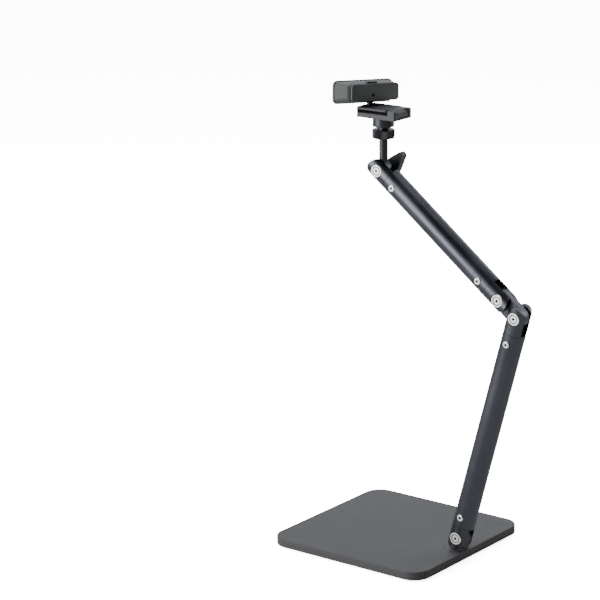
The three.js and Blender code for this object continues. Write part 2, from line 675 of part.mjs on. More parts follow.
function cameraShell() {
  const outer = taperedBlock(shellFront, shellRear, 0);
  const hollow = taperedBlock(shellFront - 1, shellRear + 1, SHELL_WALL);
  const bossBore = BALL + 3.2;
  const bossTop = -CAMERA_RISE + BALL / 2 + 2;
  const boss = rodZ(bossBore + 2.6, -BEZEL_HEIGHT / 2, bossTop, 0, CAMERA_FORWARD);
  const belly = common(boss, outer);
  return cut(
    join(cut(outer, hollow), belly),
    rodZ(bossBore, -BEZEL_HEIGHT, bossTop - 1.4, 0, CAMERA_FORWARD),
    rodX(TILT_PIN + 2 * FIT, -6.9, 6.9, CAMERA_FORWARD, -CAMERA_RISE, SMALL_ROUND),
    slabZ(buttonShape(GAP), 0, BEZEL_HEIGHT).translate(0, BUTTON_Y, 0),
  );
}

function frontBezel() {
  const plate = slabY(roundedShape(BEZEL_WIDTH, BEZEL_HEIGHT, BEZEL_CORNER), -CAMERA_FRONT,
    -CAMERA_FRONT + BEZEL_THICK);
  return cut(plate, rodY(LENS_OPENING, -CAMERA_FRONT - 1, 0, 0, 0, LARGE_ROUND));
}

function rearCover() {
  const y0 = shellRear + GAP;
  const rear = shellSize(shellRear, 0);
  const plate = slabY(roundedShape(rear.width, rear.height, SHELL_REAR_CORNER), y0, y0 + COVER_THICK);
  const inset = SHELL_WALL + 1;
  const spigotShape = roundedShape(rear.width - 2 * inset, rear.height - 2 * inset, 4);
  const spigot = slabY(spigotShape, y0 - COVER_SPIGOT, y0 + 0.5);
  const step = rodY(GROMMET_FLANGE + 2 * FIT, y0 - 3, y0 + 0.4, CABLE_HOLE_X, CABLE_HOLE_Z);
  const hole = rodY(CABLE_HOLE + 2 * FIT, y0 - 3, y0 + 3, CABLE_HOLE_X, CABLE_HOLE_Z);
  return cut(join(plate, spigot), hole, step);
}

function cableGrommet() {
  const y0 = shellRear + GAP;
  const body = join(
    rodY(GROMMET_FLANGE, y0 - COVER_SPIGOT, y0 + 0.2, CABLE_HOLE_X, CABLE_HOLE_Z),
    rodY(CABLE_HOLE, y0, y0 + COVER_THICK - 0.3, CABLE_HOLE_X, CABLE_HOLE_Z),
  );
  return cut(body, rodY(CABLE_HOLE - 1.2, y0 - 3, y0 + 3, CABLE_HOLE_X, CABLE_HOLE_Z, SMALL_ROUND));
}

// Round camera pieces are turned about +Z and then laid along +Y.
function turnedY(profile, sides) {
  return turned(profile, sides).rotateX(-Math.PI / 2);
}

function lensRing() {
  const y0 = -CAMERA_FRONT + BEZEL_THICK - 1.6;
  const outer = LENS_RING / 2;
  return cut(
    turnedY([[0, y0], [outer, y0], [outer, y0 + LENS_RING_THICK], [0, y0 + LENS_RING_THICK]], LARGE_ROUND),
    rodY(LENS_BORE, y0 - 1, y0 + 3),
  );
}

function lensGlassPiece() {
  const y0 = -CAMERA_FRONT + BEZEL_THICK - 1.9;
  const radius = LENS_GLASS / 2;
  const back = y0 + 1.2;
  return turnedY([[0, y0], [radius * 0.6, y0 + 0.15], [radius, y0 + 0.5], [radius, back], [0, back]], ROUND);
}

function lensBarrel() {
  const y0 = -CAMERA_FRONT + BEZEL_THICK - 1.6 + LENS_RING_THICK + GAP;
  return cut(rodY(BARREL, y0, y0 + BARREL_LENGTH), rodY(LENS_GLASS + 1.4, y0 - 1, y0 + BARREL_LENGTH + 1));
}

function boardFront() {
  return -CAMERA_FRONT + BEZEL_THICK - 1.6 + LENS_RING_THICK + BARREL_LENGTH + 2 * GAP;
}

function circuitBoard() {
  const y0 = boardFront();
  const half = BOARD_WIDTH / 2;
  const board = box(-half, half, y0, y0 + BOARD_THICK, -BOARD_HEIGHT / 2 + 1, BOARD_HEIGHT / 2 + 1);
  const holes = [-half + 4, half - 4].map((x) => rodY(2.4, y0 - 1, y0 + 3, x, 1, SMALL_ROUND));
  return cut(board, ...holes);
}

function imageSensor() {
  const y1 = boardFront() - GAP;
  return box(-SENSOR / 2, SENSOR / 2, y1 - SENSOR_THICK, y1, -SENSOR / 2, SENSOR / 2);
}

function topButton() {
  const top = buttonTop();
  return join(
    slabZ(buttonShape(0), top - 3, top).translate(0, BUTTON_Y, 0),
    box(-BUTTON_LENGTH / 2 - 1.5, BUTTON_LENGTH / 2 + 1.5, BUTTON_Y - 3, BUTTON_Y + 2,
      top - 3 - BUTTON_TRAVEL - 1.4, top - 2.9 - BUTTON_TRAVEL - 0.2),
    box(-4, 4, BUTTON_Y - 2, BUTTON_Y + 2, top - 3 - BUTTON_TRAVEL - 0.6, top - 2),
  );
}

// ---------------------------------------------------------------- assembly
function buildBase(model) {
  add(model, 'base_pad', basePad(), padRubber);
  add(model, 'base_plate', basePlate(), powderCoat);
  add(model, 'base_lug', baseLug(), powderCoat);
  for (const [end, y] of lugScrewPlaces()) {
    add(model, `lug_screw_${end}`, lugScrew(y), steel);
  }
}

function buildArms(model) {
  const lower = frameAt(model, ARM_X, basePivot.y, basePivot.z, LOWER_LEAN);
  arm(lower, 'lower_arm', LOWER_ARM, END_FORK, ELBOW_FORK);
  pivot(lower, 'base');
  const elbow = frameAt(lower, 0, 0, LOWER_ARM, LINK_LEAN - LOWER_LEAN);
  add(elbow, 'elbow_link', elbowLink(), anodised);
  pivot(elbow, 'lower_elbow');
  const upper = frameAt(elbow, 0, 0, link, UPPER_LEAN - LINK_LEAN);
  arm(upper, 'upper_arm', UPPER_ARM, ELBOW_FORK, END_FORK);
  pivot(upper, 'upper_elbow');
  const tip = frameAt(upper, 0, 0, UPPER_ARM, -UPPER_LEAN);
  add(tip, 'head_pivot_bolt', headBolt(), steel);
  add(tip, 'head_pivot_bush', headBush(), nylon);
  add(tip, 'head_washer_right', washer(1), nylon);
  add(tip, 'head_washer_left', washer(-1), nylon);
  add(tip, 'clamp_knob', clampKnob(), knobPlastic);
  return tip;
}

function buildHead(tip) {
  add(tip, 'head_post', headPost(), blackMetal);
  const onPost = frameAt(tip, 0, POST_SETBACK, 0);
  add(onPost, 'thumb_nut', thumbNut(), blackMetal);
  add(onPost, 'clip_collar', clipCollar(), blackMetal);
  add(onPost, 'clip_base', clipBase(), clipPlastic);
  add(onPost, 'clip_leg', clipLeg(), clipPlastic);
  add(onPost, 'clip_leg_pin', legPin(), steel);
  add(onPost, 'clip_hinge_pin', hingePin(), steel);
  add(onPost, 'clip_jaw', clipJaw(), clipPlastic);
  add(onPost, 'clip_rubber', clipRubber(), padRubber);
  return onPost;
}

function buildCamera(onPost) {
  const neck = new THREE.Group();
  neck.position.set(0, -NECK_FORWARD, ballHeight);
  neck.rotation.z = rad(CAMERA_PAN);
  onPost.add(neck);
  add(neck, 'neck_cup', neckCup(), blackPlastic);
  const rolled = new THREE.Group();
  rolled.rotation.y = rad(CAMERA_ROLL);
  neck.add(rolled);
  add(rolled, 'neck_ball', neckBall(), blackPlastic);
  const tilted = new THREE.Group();
  tilted.rotation.x = rad(CAMERA_TILT);
  rolled.add(tilted);
  add(tilted, 'camera_tilt_pin', tiltPin(), steel);
  const camera = new THREE.Group();
  camera.position.set(0, -CAMERA_FORWARD, CAMERA_RISE);
  tilted.add(camera);
  add(camera, 'camera_shell', cameraShell(), shellPlastic);
  add(camera, 'front_bezel', frontBezel(), bezelPlastic);
  add(camera, 'rear_cover', rearCover(), shellPlastic);
  add(camera, 'cable_grommet', cableGrommet(), blackPlastic);
  add(camera, 'lens_ring', lensRing(), lensSilver);
  add(camera, 'lens_glass', lensGlassPiece(), lensGlass);
  add(camera, 'lens_barrel', lensBarrel(), blackPlastic);
  add(camera, 'circuit_board', circuitBoard(), boardGreen);
  add(camera, 'image_sensor', imageSensor(), blackPlastic);
  add(camera, 'top_button', topButton(), blackPlastic);
}

const model = new THREE.Group();
model.name = 'webcam_on_arm_stand';
buildBase(model);
buildCamera(buildHead(buildArms(model)));

export default model;
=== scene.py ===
# Webcam on a two-arm desk stand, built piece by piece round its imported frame.
# The frame is in metres. Shapes are drawn in millimetres about the point each piece is fixed by,
# and are then seated in the frame.
import json
from math import cos, pi, radians, sin

import bpy
from mathutils import Matrix, Vector


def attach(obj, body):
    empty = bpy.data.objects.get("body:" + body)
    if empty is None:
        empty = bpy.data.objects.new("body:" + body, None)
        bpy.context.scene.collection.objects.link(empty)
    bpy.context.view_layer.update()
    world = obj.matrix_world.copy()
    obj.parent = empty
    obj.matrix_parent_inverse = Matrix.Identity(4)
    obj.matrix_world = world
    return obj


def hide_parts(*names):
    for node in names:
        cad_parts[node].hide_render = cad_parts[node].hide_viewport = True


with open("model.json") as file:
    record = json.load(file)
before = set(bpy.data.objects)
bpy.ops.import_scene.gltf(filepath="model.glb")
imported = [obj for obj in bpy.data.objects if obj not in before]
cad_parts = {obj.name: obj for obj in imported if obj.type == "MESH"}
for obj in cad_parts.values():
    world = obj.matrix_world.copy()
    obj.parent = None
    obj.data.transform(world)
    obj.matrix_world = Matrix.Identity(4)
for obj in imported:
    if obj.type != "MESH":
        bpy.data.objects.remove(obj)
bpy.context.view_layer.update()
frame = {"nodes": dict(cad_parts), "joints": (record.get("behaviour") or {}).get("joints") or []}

# ------------------------------------------------------------------ the view, light and floor
# A bright white studio floor under a dim even surround, with a tall softbox on the left that draws
# the long highlight down the tubes, a soft light overhead and a faint one behind.
VIEW_FROM = Vector((2.0987, 1.4982, 0.9685))
VIEW_HEADING = Vector((-0.7898, -0.6134, 0))
VIEW_DOWN = radians(15.08)
VIEW_ROLL = 0.0106
LENS = 148.5

forward = VIEW_HEADING * cos(VIEW_DOWN) - Vector((0, 0, sin(VIEW_DOWN)))
level_right = Vector((VIEW_HEADING.y, -VIEW_HEADING.x, 0))
level_up = level_right.cross(forward)
right = level_right * cos(VIEW_ROLL) - level_up * sin(VIEW_ROLL)
up = right.cross(forward)
camera_data = bpy.data.cameras.new("studio_camera")
camera_data.lens = LENS
camera_data.sensor_width = 36
camera_data.clip_end = 50
camera = bpy.data.objects.new("studio_camera", camera_data)
camera.matrix_world = Matrix.Translation(VIEW_FROM) @ Matrix((right, up, -forward)).transposed().to_4x4()
bpy.context.scene.collection.objects.link(camera)
bpy.context.scene.camera = camera

# The surround is bright behind and beside the stand and dim on the camera's side, so that turned
# surfaces carry a dark band between two light edges.
world = bpy.data.worlds.new("studio_surround")
world.use_nodes = True
surround = world.node_tree
aim = surround.nodes.new("ShaderNodeTexCoord")
facing = surround.nodes.new("ShaderNodeVectorMath")
facing.operation = "DOT_PRODUCT"
facing.inputs[1].default_value = VIEW_HEADING
surround.links.new(aim.outputs["Generated"], facing.inputs[0])
falloff = surround.nodes.new("ShaderNodeMapRange")
falloff.inputs["From Min"].default_value = -0.1
falloff.inputs["From Max"].default_value = 0.7
falloff.inputs["To Min"].default_value = 0.03
falloff.inputs["To Max"].default_value = 1.1
surround.links.new(facing.outputs["Value"], falloff.inputs["Value"])
surround.nodes["Background"].inputs["Color"].default_value = (0.93, 0.96, 1.0, 1)
surround.links.new(falloff.outputs["Result"], surround.nodes["Background"].inputs["Strength"])
bpy.context.scene.world = world


def softbox(name, place, aim, size, power):
    data = bpy.data.lights.new(name, "AREA")
    data.shape = "RECTANGLE"
    data.size, data.size_y = size
    data.energy = power
    light = bpy.data.objects.new(name, data)
    light.location = place
    light.rotation_euler = (Vector(aim) - Vector(place)).to_track_quat("-Z", "Y").to_euler()
    bpy.context.scene.collection.objects.link(light)


MIDDLE = (0, 0.03, 0.25)
softbox("softbox_left", (2.3, -1.35, 1.22), MIDDLE, (2.2, 2.4), 125)
softbox("softbox_top", (-0.3, -0.3, 2.4), MIDDLE, (1.6, 1.6), 26)
softbox("softbox_behind", (-1.9, 0.9, 0.9), MIDDLE, (1.2, 1.4), 14)

bpy.ops.object.select_all(action="DESELECT")
bpy.ops.mesh.primitive_plane_add(size=24, location=(0, 0, -0.0002))
floor = bpy.context.object
floor.name = "studio_floor"
floor_paint = bpy.data.materials.new("studio_floor_paint")
floor_paint.use_nodes = True
floor_tree = floor_paint.node_tree
floor_tree.nodes.remove(floor_tree.nodes["Principled BSDF"])
white = floor_tree.nodes.new("ShaderNodeBsdfDiffuse")
glow = floor_tree.nodes.new("ShaderNodeEmission")
glow.inputs["Color"].default_value = (1, 1, 1, 1)
both = floor_tree.nodes.new("ShaderNodeAddShader")
seen = floor_tree.nodes.new("ShaderNodeLightPath")
for socket, unseen, direct in ((white.inputs["Color"], 0.5, 11.0), (glow.inputs["Strength"], 0, 7.0)):
    shade = floor_tree.nodes.new("ShaderNodeMapRange")
    shade.inputs["To Min"].default_value = unseen
    shade.inputs["To Max"].default_value = direct
    floor_tree.links.new(seen.outputs["Is Camera Ray"], shade.inputs["Value"])
    floor_tree.links.new(shade.outputs["Result"], socket)
floor_tree.links.new(white.outputs["BSDF"], both.inputs[0])
floor_tree.links.new(glow.outputs["Emission"], both.inputs[1])
floor_tree.links.new(both.outputs["Shader"], floor_tree.nodes["Material Output"].inputs["Surface"])
floor.data.materials.append(floor_paint)

# ------------------------------------------------------------------ base pad
# A thin sheet of black rubber, die cut and glued under the steel plate so that it can't slide.
# Its fine cast grain shows only along its edge.


def grained(name, colour, roughness, metallic=0.0, grain=2600.0, depth=0.00004, mottle=0.12):
    """A finish with a fine surface grain, and a slight unevenness of colour and gloss."""
    material = bpy.data.materials.new(name)
    material.use_nodes = True
    tree = material.node_tree
    shader = tree.nodes["Principled BSDF"]
    shader.inputs["Metallic"].default_value = metallic
    place = tree.nodes.new("ShaderNodeTexCoord")

    fine = tree.nodes.new("ShaderNodeTexNoise")
    fine.inputs["Scale"].default_value = grain
    fine.inputs["Detail"].default_value = 4
    fine.inputs["Roughness"].default_value = 0.6
    tree.links.new(place.outputs["Object"], fine.inputs["Vector"])
    bump = tree.nodes.new("ShaderNodeBump")
    bump.inputs["Strength"].default_value = 0.6
    bump.inputs["Distance"].default_value = depth
    tree.links.new(fine.outputs["Fac"], bump.inputs["Height"])
    tree.links.new(bump.outputs["Normal"], shader.inputs["Normal"])

    broad = tree.nodes.new("ShaderNodeTexNoise")
    broad.inputs["Scale"].default_value = 34
    broad.inputs["Detail"].default_value = 6
    tree.links.new(place.outputs["Object"], broad.inputs["Vector"])
    blend = tree.nodes.new("ShaderNodeMath")
    blend.operation = "MULTIPLY_ADD"
    blend.inputs[1].default_value = 0.45
    tree.links.new(fine.outputs["Fac"], blend.inputs[0])
    tree.links.new(broad.outputs["Fac"], blend.inputs[2])
    tint = tree.nodes.new("ShaderNodeValToRGB")
    tint.color_ramp.elements[0].position = 0.45
    tint.color_ramp.elements[1].position = 0.95
    tint.color_ramp.elements[0].color = (*[c * (1 - mottle) for c in colour], 1)
    tint.color_ramp.elements[1].color = (*[min(1, c * (1 + mottle)) for c in colour], 1)
    tree.links.new(blend.outputs["Value"], tint.inputs["Fac"])
    tree.links.new(tint.outputs["Color"], shader.inputs["Base Color"])
    gloss = tree.nodes.new("ShaderNodeMapRange")
    gloss.inputs["From Min"].default_value = 0.3
    gloss.inputs["From Max"].default_value = 0.7
    gloss.inputs["To Min"].default_value = roughness - 0.05
    gloss.inputs["To Max"].default_value = roughness + 0.05
    tree.links.new(broad.outputs["Fac"], gloss.inputs["Value"])
    tree.links.new(gloss.outputs["Result"], shader.inputs["Roughness"])
    return material


pad_rubber = grained("pad_rubber_black", (0.018, 0.018, 0.019), 0.8, grain=1800, depth=0.00008)
pad = frame["nodes"]["base_pad"]
pad.data.materials.clear()
pad.data.materials.append(pad_rubber)

# ------------------------------------------------------------------ base plate
# A square of 10 mm steel plate with rounded corners and eased edges, finished in a fine-textured
# charcoal powder coat. A pocket at the rear takes the lug's foot, held by two screws from below.
PLATE_SIDE = 200
PLATE_CORNER = 20
PLATE_BOTTOM = 1.5
PLATE_TOP = 11.2
PLATE_EDGE = 0.8
FOOT_LENGTH = 27
FOOT_WIDTH = 21
FOOT_DEPTH = 5.4
FOOT_CLEARANCE = 0.3
FOOT_Y = 85.1
ARM_X = 10
LUG_SCREW_Y = (FOOT_Y - 6, FOOT_Y + 6)
LUG_SCREW_HOLE = 5.4
LUG_SCREW_HEAD_HOLE = 9.6
LUG_SCREW_HEAD_DEPTH = 2.6
HALF_ROUND_EASE = 0.02  # keeps two round corners from meeting in one point
THROUGH = 20  # how far a cutter runs on each side of a bore
MM = 0.001


def edit(select="SELECT"):
    bpy.ops.object.mode_set(mode="EDIT")
    bpy.ops.mesh.select_mode(type="EDGE")
    bpy.ops.mesh.select_all(action=select)


def done():
    bpy.ops.mesh.select_all(action="SELECT")
    bpy.ops.mesh.normals_make_consistent(inside=False)
    bpy.ops.object.mode_set(mode="OBJECT")
    bpy.ops.object.transform_apply(location=True, rotation=True, scale=True)
    return bpy.context.object


def pick_edges(piece, wanted):
    """Selects the edges whose two ends, in the piece's own space, answer wanted(a, b)."""
    bpy.ops.object.mode_set(mode="OBJECT")
    points = piece.data.vertices
    for edge in piece.data.edges:
        a, b = (points[i].co for i in edge.vertices)
        edge.select = wanted(a, b)
    bpy.ops.object.mode_set(mode="EDIT")


def slab(width, length, corner, bottom, top, centre=(0, 0), segments=12):
    """A block with rounded upright corners, standing between two heights."""
    bpy.ops.object.select_all(action="DESELECT")
    middle = (centre[0], centre[1], (bottom + top) / 2)
    bpy.ops.mesh.primitive_cube_add(size=1, location=middle)
    piece = bpy.context.object
    piece.scale = (width, length, top - bottom)
    bpy.ops.object.transform_apply(location=True, rotation=True, scale=True)
    edit("DESELECT")
    pick_edges(piece, lambda a, b: abs(a.z - b.z) > (top - bottom) / 2)
    bpy.ops.mesh.bevel(offset=corner, segments=segments, affect="EDGES")
    return done()


def rod(diameter, start, end, axis="Z", centre=(0, 0), sides=64):
    """A cylinder along an axis; centre is its place across that axis, in the order X, Y, Z."""
    middle = (start + end) / 2
    place = {"X": (middle, *centre), "Y": (centre[0], middle, centre[1]), "Z": (*centre, middle)}[axis]
    turn = {"X": (0, pi / 2, 0), "Y": (pi / 2, 0, 0), "Z": (0, 0, 0)}[axis]
    bpy.ops.object.select_all(action="DESELECT")
    bpy.ops.mesh.primitive_cylinder_add(
        vertices=sides, radius=diameter / 2, depth=end - start, location=place, rotation=turn)
    bpy.ops.object.transform_apply(location=True, rotation=True, scale=True)
    return bpy.context.object


def block(x0, x1, y0, y1, z0, z1):
    bpy.ops.object.select_all(action="DESELECT")
    bpy.ops.mesh.primitive_cube_add(size=1, location=((x0 + x1) / 2, (y0 + y1) / 2, (z0 + z1) / 2))
    piece = bpy.context.object
    piece.scale = (x1 - x0, y1 - y0, z1 - z0)
    bpy.ops.object.transform_apply(location=True, rotation=True, scale=True)
    return piece


def active(piece):
    bpy.ops.object.select_all(action="DESELECT")
    piece.select_set(True)
    bpy.context.view_layer.objects.active = piece


def combine(piece, operation, *others):
    """Joins, cuts or intersects the piece with others, which are used up."""
    for other in others:
        active(piece)
        boolean = piece.modifiers.new("combine", "BOOLEAN")
        boolean.operation = operation
        boolean.solver = "EXACT"
        boolean.object = other
        bpy.ops.object.modifier_apply(modifier=boolean.name)
        bpy.data.objects.remove(other)
    return piece


def ease(piece, width, segments=3, angle=32):
    """Eases every edge sharper than the angle, and smooths the shading between them."""
    active(piece)
    edit()
    bpy.ops.mesh.remove_doubles(threshold=0.002)
    bpy.ops.mesh.dissolve_limited(angle_limit=radians(0.2))
    bpy.ops.object.mode_set(mode="OBJECT")
    bevel = piece.modifiers.new("eased", "BEVEL")
    bevel.width = width
    bevel.segments = segments
    bevel.limit_method = "ANGLE"
    bevel.angle_limit = radians(angle)
    bevel.miter_outer = "MITER_ARC"
    bpy.ops.object.modifier_apply(modifier=bevel.name)
    bpy.ops.object.shade_smooth_by_angle(angle=radians(angle))
    even = piece.modifiers.new("even", "WEIGHTED_NORMAL")
    even.keep_sharp = True
    bpy.ops.object.modifier_apply(modifier=even.name)
    return piece


def seat(piece, node, body, material, place=Matrix.Identity(4)):
    """Puts a finished shape in the frame, in the place of its CAD node."""
    active(piece)
    piece.name = node + "_fine"
    piece.data.name = piece.name
    piece.matrix_world = place @ Matrix.Scale(MM, 4)
    bpy.ops.object.transform_apply(location=True, rotation=True, scale=True)
    piece.data.materials.clear()
    piece.data.materials.append(material)
    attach(piece, body)
    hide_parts(node)
    return piece


powder_coat = grained("powder_coat_charcoal", (0.05, 0.051, 0.054), 0.6, metallic=0.0,
                      grain=1500, depth=0.00012, mottle=0.1)
plate = slab(PLATE_SIDE, PLATE_SIDE, PLATE_CORNER, PLATE_BOTTOM, PLATE_TOP, segments=24)
ease(plate, PLATE_EDGE, 6, 60)
foot_pocket = slab(FOOT_WIDTH + 2 * FOOT_CLEARANCE, FOOT_LENGTH + 2 * FOOT_CLEARANCE,
                   FOOT_WIDTH / 2 + FOOT_CLEARANCE - HALF_ROUND_EASE, PLATE_TOP - FOOT_DEPTH, PLATE_TOP + 1,
                   (ARM_X, FOOT_Y), 20)
screw_holes = []
for y in LUG_SCREW_Y:
    screw_holes.append(rod(LUG_SCREW_HOLE, 0, PLATE_TOP - 1, "Z", (ARM_X, y), 32))
    screw_holes.append(
        rod(LUG_SCREW_HEAD_HOLE, 0, PLATE_BOTTOM + LUG_SCREW_HEAD_DEPTH, "Z", (ARM_X, y), 32))
combine(plate, "DIFFERENCE", foot_pocket, *screw_holes)
active(plate)
bpy.ops.object.shade_smooth_by_angle(angle=radians(30))
seat(plate, "base_plate", "base", powder_coat)

# ------------------------------------------------------------------ base lug and its two screws
# A machined lug with a round-ended tongue, let into the plate by its foot and coated with it.
# Two flat-headed steel screws hold it from below.
TONGUE = 9
TONGUE_WIDTH = 21
SLEEVE_BORE = 9
TONGUE_REAR = 5.4
TONGUE_FLARE = 25
STEM_SUNK = 1.5
LUG_SCREW_BLIND = 0.8
LUG_EASE = 0.35
joints = {joint["name"]: joint for joint in frame["joints"]}
base_pivot = Vector(joints["base_tilt"]["pos_m"])
base_place = Matrix.Translation(base_pivot)
pivot_height = base_pivot.z / MM
pivot_y = base_pivot.y / MM


def tongue_disc():
    return rod(TONGUE_WIDTH, -TONGUE / 2, TONGUE / 2, "X", sides=96)


foot_top = PLATE_TOP - pivot_height
foot = slab(FOOT_WIDTH, FOOT_LENGTH, FOOT_WIDTH / 2 - HALF_ROUND_EASE,
            foot_top - FOOT_DEPTH + FOOT_CLEARANCE, foot_top, (0, FOOT_Y - pivot_y), 20)
stem_bottom = foot_top - STEM_SUNK
stem = block(-TONGUE / 2, TONGUE / 2, -TONGUE_WIDTH / 2, TONGUE_REAR, stem_bottom,
             -TONGUE_WIDTH / 2 * sin(radians(TONGUE_FLARE)))
edit("DESELECT")
pick_edges(stem, lambda a, b: min(a.y, b.y) > 0 and min(a.z, b.z) > -6)
flare = TONGUE_WIDTH / 2 * cos(radians(TONGUE_FLARE)) - TONGUE_REAR
bpy.ops.transform.translate(value=(0, flare, 0))
stem = done()
front_stem = block(-TONGUE / 2, TONGUE / 2, -TONGUE_WIDTH / 2, 0, stem_bottom, 0)
lug = combine(tongue_disc(), "UNION", stem, front_stem, foot)
threads = [rod(LUG_SCREW_HOLE, -2 * THROUGH, foot_top - LUG_SCREW_BLIND, "Z", (0, y - pivot_y), 32)
           for y in LUG_SCREW_Y]
combine(lug, "DIFFERENCE", rod(SLEEVE_BORE, -THROUGH, THROUGH, "X"), *threads)
ease(lug, LUG_EASE)
seat(lug, "base_lug", "base", powder_coat, base_place)


def steel_finish(name, colour, roughness, grain, depth):
    """Metallic steel with a fine, even noise grain standing in for the lines of a lathe or a polishing
    wheel.
    """
    return grained(name, colour, roughness, metallic=1.0, grain=grain, depth=depth, mottle=0.08)


zinc_steel = steel_finish("zinc_plated_steel", (0.52, 0.51, 0.49), 0.34, 2200, 0.00003)
for name in ("lug_screw_front", "lug_screw_rear"):
    screw_mesh = frame["nodes"][name].data
    screw_mesh.materials.clear()
    screw_mesh.materials.append(zinc_steel)

# ------------------------------------------------------------------ arm tubes
# Two lengths of 24 mm aluminium tube, black anodised to a satin. Near each end a flat is sunk on
# both sides for the head of the screw that holds the fork's plug.
TUBE = 24.4
TUBE_WALL = 1.8
SMALL_HEAD = 7.5
SMALL_SPOT = 0.8
SMALL_HOLE = 4.6
SPOT_CLEARANCE = 0.8
GAP = 0.3
END_FORK = {"seam": 14.4, "slot": 13.4, "screw": 26.2}
ELBOW_FORK = {"seam": 18, "slot": 17, "screw": 29.4}
anodised = grained("black_anodised_satin", (0.085, 0.089, 0.104), 0.33, metallic=1.0,
                   grain=3200, depth=0.00003, mottle=0.1)


def along(start, end):
    """A frame whose Z runs from one point to another in the plane of the arms."""
    z = (end - start).normalized()
    x = Vector((1, 0, 0))
    return Matrix.Translation(start) @ Matrix((x, z.cross(x), z)).transposed().to_4x4()


lower_elbow = Vector(joints["lower_elbow_bend"]["pos_m"])
upper_elbow = Vector(joints["upper_elbow_bend"]["pos_m"])
head_pivot = Vector(joints["head_tilt"]["pos_m"])
ARMS = {
    "lower_arm": (base_pivot, lower_elbow, END_FORK, ELBOW_FORK),
    "upper_arm": (upper_elbow, head_pivot, ELBOW_FORK, END_FORK),
}
for arm, (start, end, bottom_fork, top_fork) in ARMS.items():
    length = (end - start).length / MM
    z0 = bottom_fork["seam"] + GAP
    z1 = length - top_fork["seam"] - GAP
    bore = TUBE - 2 * TUBE_WALL
    tube = rod(TUBE, z0, z1, sides=96)
    combine(tube, "DIFFERENCE", rod(bore, z0 - 1, z1 + 1, sides=96))
    flat = TUBE / 2 - SMALL_SPOT
    for z in (bottom_fork["screw"], length - top_fork["screw"]):
        combine(tube, "DIFFERENCE", rod(SMALL_HOLE, -TUBE, TUBE, "X", (0, z), 32),
                rod(SMALL_HEAD + SPOT_CLEARANCE, flat, TUBE, "X", (0, z)),
                rod(SMALL_HEAD + SPOT_CLEARANCE, -TUBE, -flat, "X", (0, z)))
    ease(tube, 0.18, 2)
    seat(tube, arm + "_tube", arm, anodised, along(start, end))

# ------------------------------------------------------------------ forks
# Turned aluminium ends, pressed into the tubes by a plug. A milled slot makes two ears that clasp a
# tongue or the elbow link, and recesses take the pivot's heads. Anodised with the tubes.
SLOT = 11
PLUG_LENGTH = 22
PIVOT_HEAD = 14
PIVOT_FACE = 11.2
PIVOT_HEAD_THICK = 1.8
EAR_FACE = 9.2
BOLT_BORE = 6.4
PLUG_CLEARANCE = 0.4
HEAD_CLEARANCE = 0.6
FORK_EASE = 0.3


def fork(shape):
    blank = rod(TUBE, -TUBE / 2, shape["seam"], sides=96)
    ends = rod(TUBE, -TUBE, TUBE, "X", sides=96)
    combine(ends, "UNION", block(-TUBE, TUBE, -TUBE, TUBE, 0, shape["seam"] + 1))
    combine(blank, "INTERSECT", ends)
    plug = rod(TUBE - 2 * TUBE_WALL - PLUG_CLEARANCE, shape["seam"] - 1, shape["seam"] + PLUG_LENGTH)
    combine(blank, "UNION", plug)
    return combine(
        blank, "DIFFERENCE",
        block(-SLOT / 2, SLOT / 2, -TUBE, TUBE, -TUBE, shape["slot"]),
        rod(BOLT_BORE, 0, TUBE, "X"),
        rod(SLEEVE_BORE, -TUBE, 0, "X"),
        rod(PIVOT_HEAD + HEAD_CLEARANCE, EAR_FACE, TUBE, "X"),
        rod(PIVOT_HEAD + HEAD_CLEARANCE, -TUBE, -EAR_FACE, "X"),
        rod(SMALL_HOLE, -TUBE, TUBE, "X", (0, shape["screw"]), 32),
    )


for arm, (start, end, bottom_fork, top_fork) in ARMS.items():
    for name, shape, place in (("_bottom_fork", bottom_fork, along(start, end)),
                               ("_top_fork", top_fork, along(end, start))):
        piece = ease(fork(shape), FORK_EASE)
        seat(piece, arm + name, arm, anodised, place)

# ------------------------------------------------------------------ small screws
# Button-headed steel screws with a hexagon socket, two to each fork, one on either side of the tube.
# They are bright polished, and the socket is painted dark as shade.
SMALL_HEAD_THICK = 1.4
SMALL_SHANK = 4
SMALL_SEAT = TUBE / 2 - SMALL_SPOT + 0.2
SMALL_SHANK_LENGTH = 7
SMALL_SOCKET = 3.3
SMALL_SOCKET_DEPTH = 1.1
bright_steel = steel_finish("polished_steel", (0.95, 0.94, 0.92), 0.4, 2600, 0.00001)
# Dark steel painted into the heads' grooves and sockets as shade.
groove_painted_shade = steel_finish("painted_shade_steel", (0.06, 0.058, 0.055), 0.4, 1800, 0.00004)


def turned(rings, sides=64):
    """A round piece about Z, drawn out ring by ring from a disc."""
    radius, height = rings[0]
    bpy.ops.object.select_all(action="DESELECT")
    bpy.ops.mesh.primitive_circle_add(
        vertices=sides, radius=radius, fill_type="NGON", location=(0, 0, height))
    edit()
    for next_radius, next_height in rings[1:]:
        rise = next_height - height
        bpy.ops.mesh.extrude_region_move(TRANSFORM_OT_translate={"value": (0, 0, rise)})
        share = next_radius / radius
        bpy.ops.transform.resize(value=(share, share, 1), center_override=(0, 0, 0))
        radius, height = next_radius, next_height
    return done()


def paint_shade(piece, place, inside):
    """Paints shade, as dark steel, on the faces whose middle, in the drawing's millimetres, answers inside.
    """
    piece.data.materials.append(groove_painted_shade)
    to_drawing = (place @ Matrix.Scale(MM, 4)).inverted()
    for face in piece.data.polygons:
        if inside(to_drawing @ face.center):
            face.material_index = 1


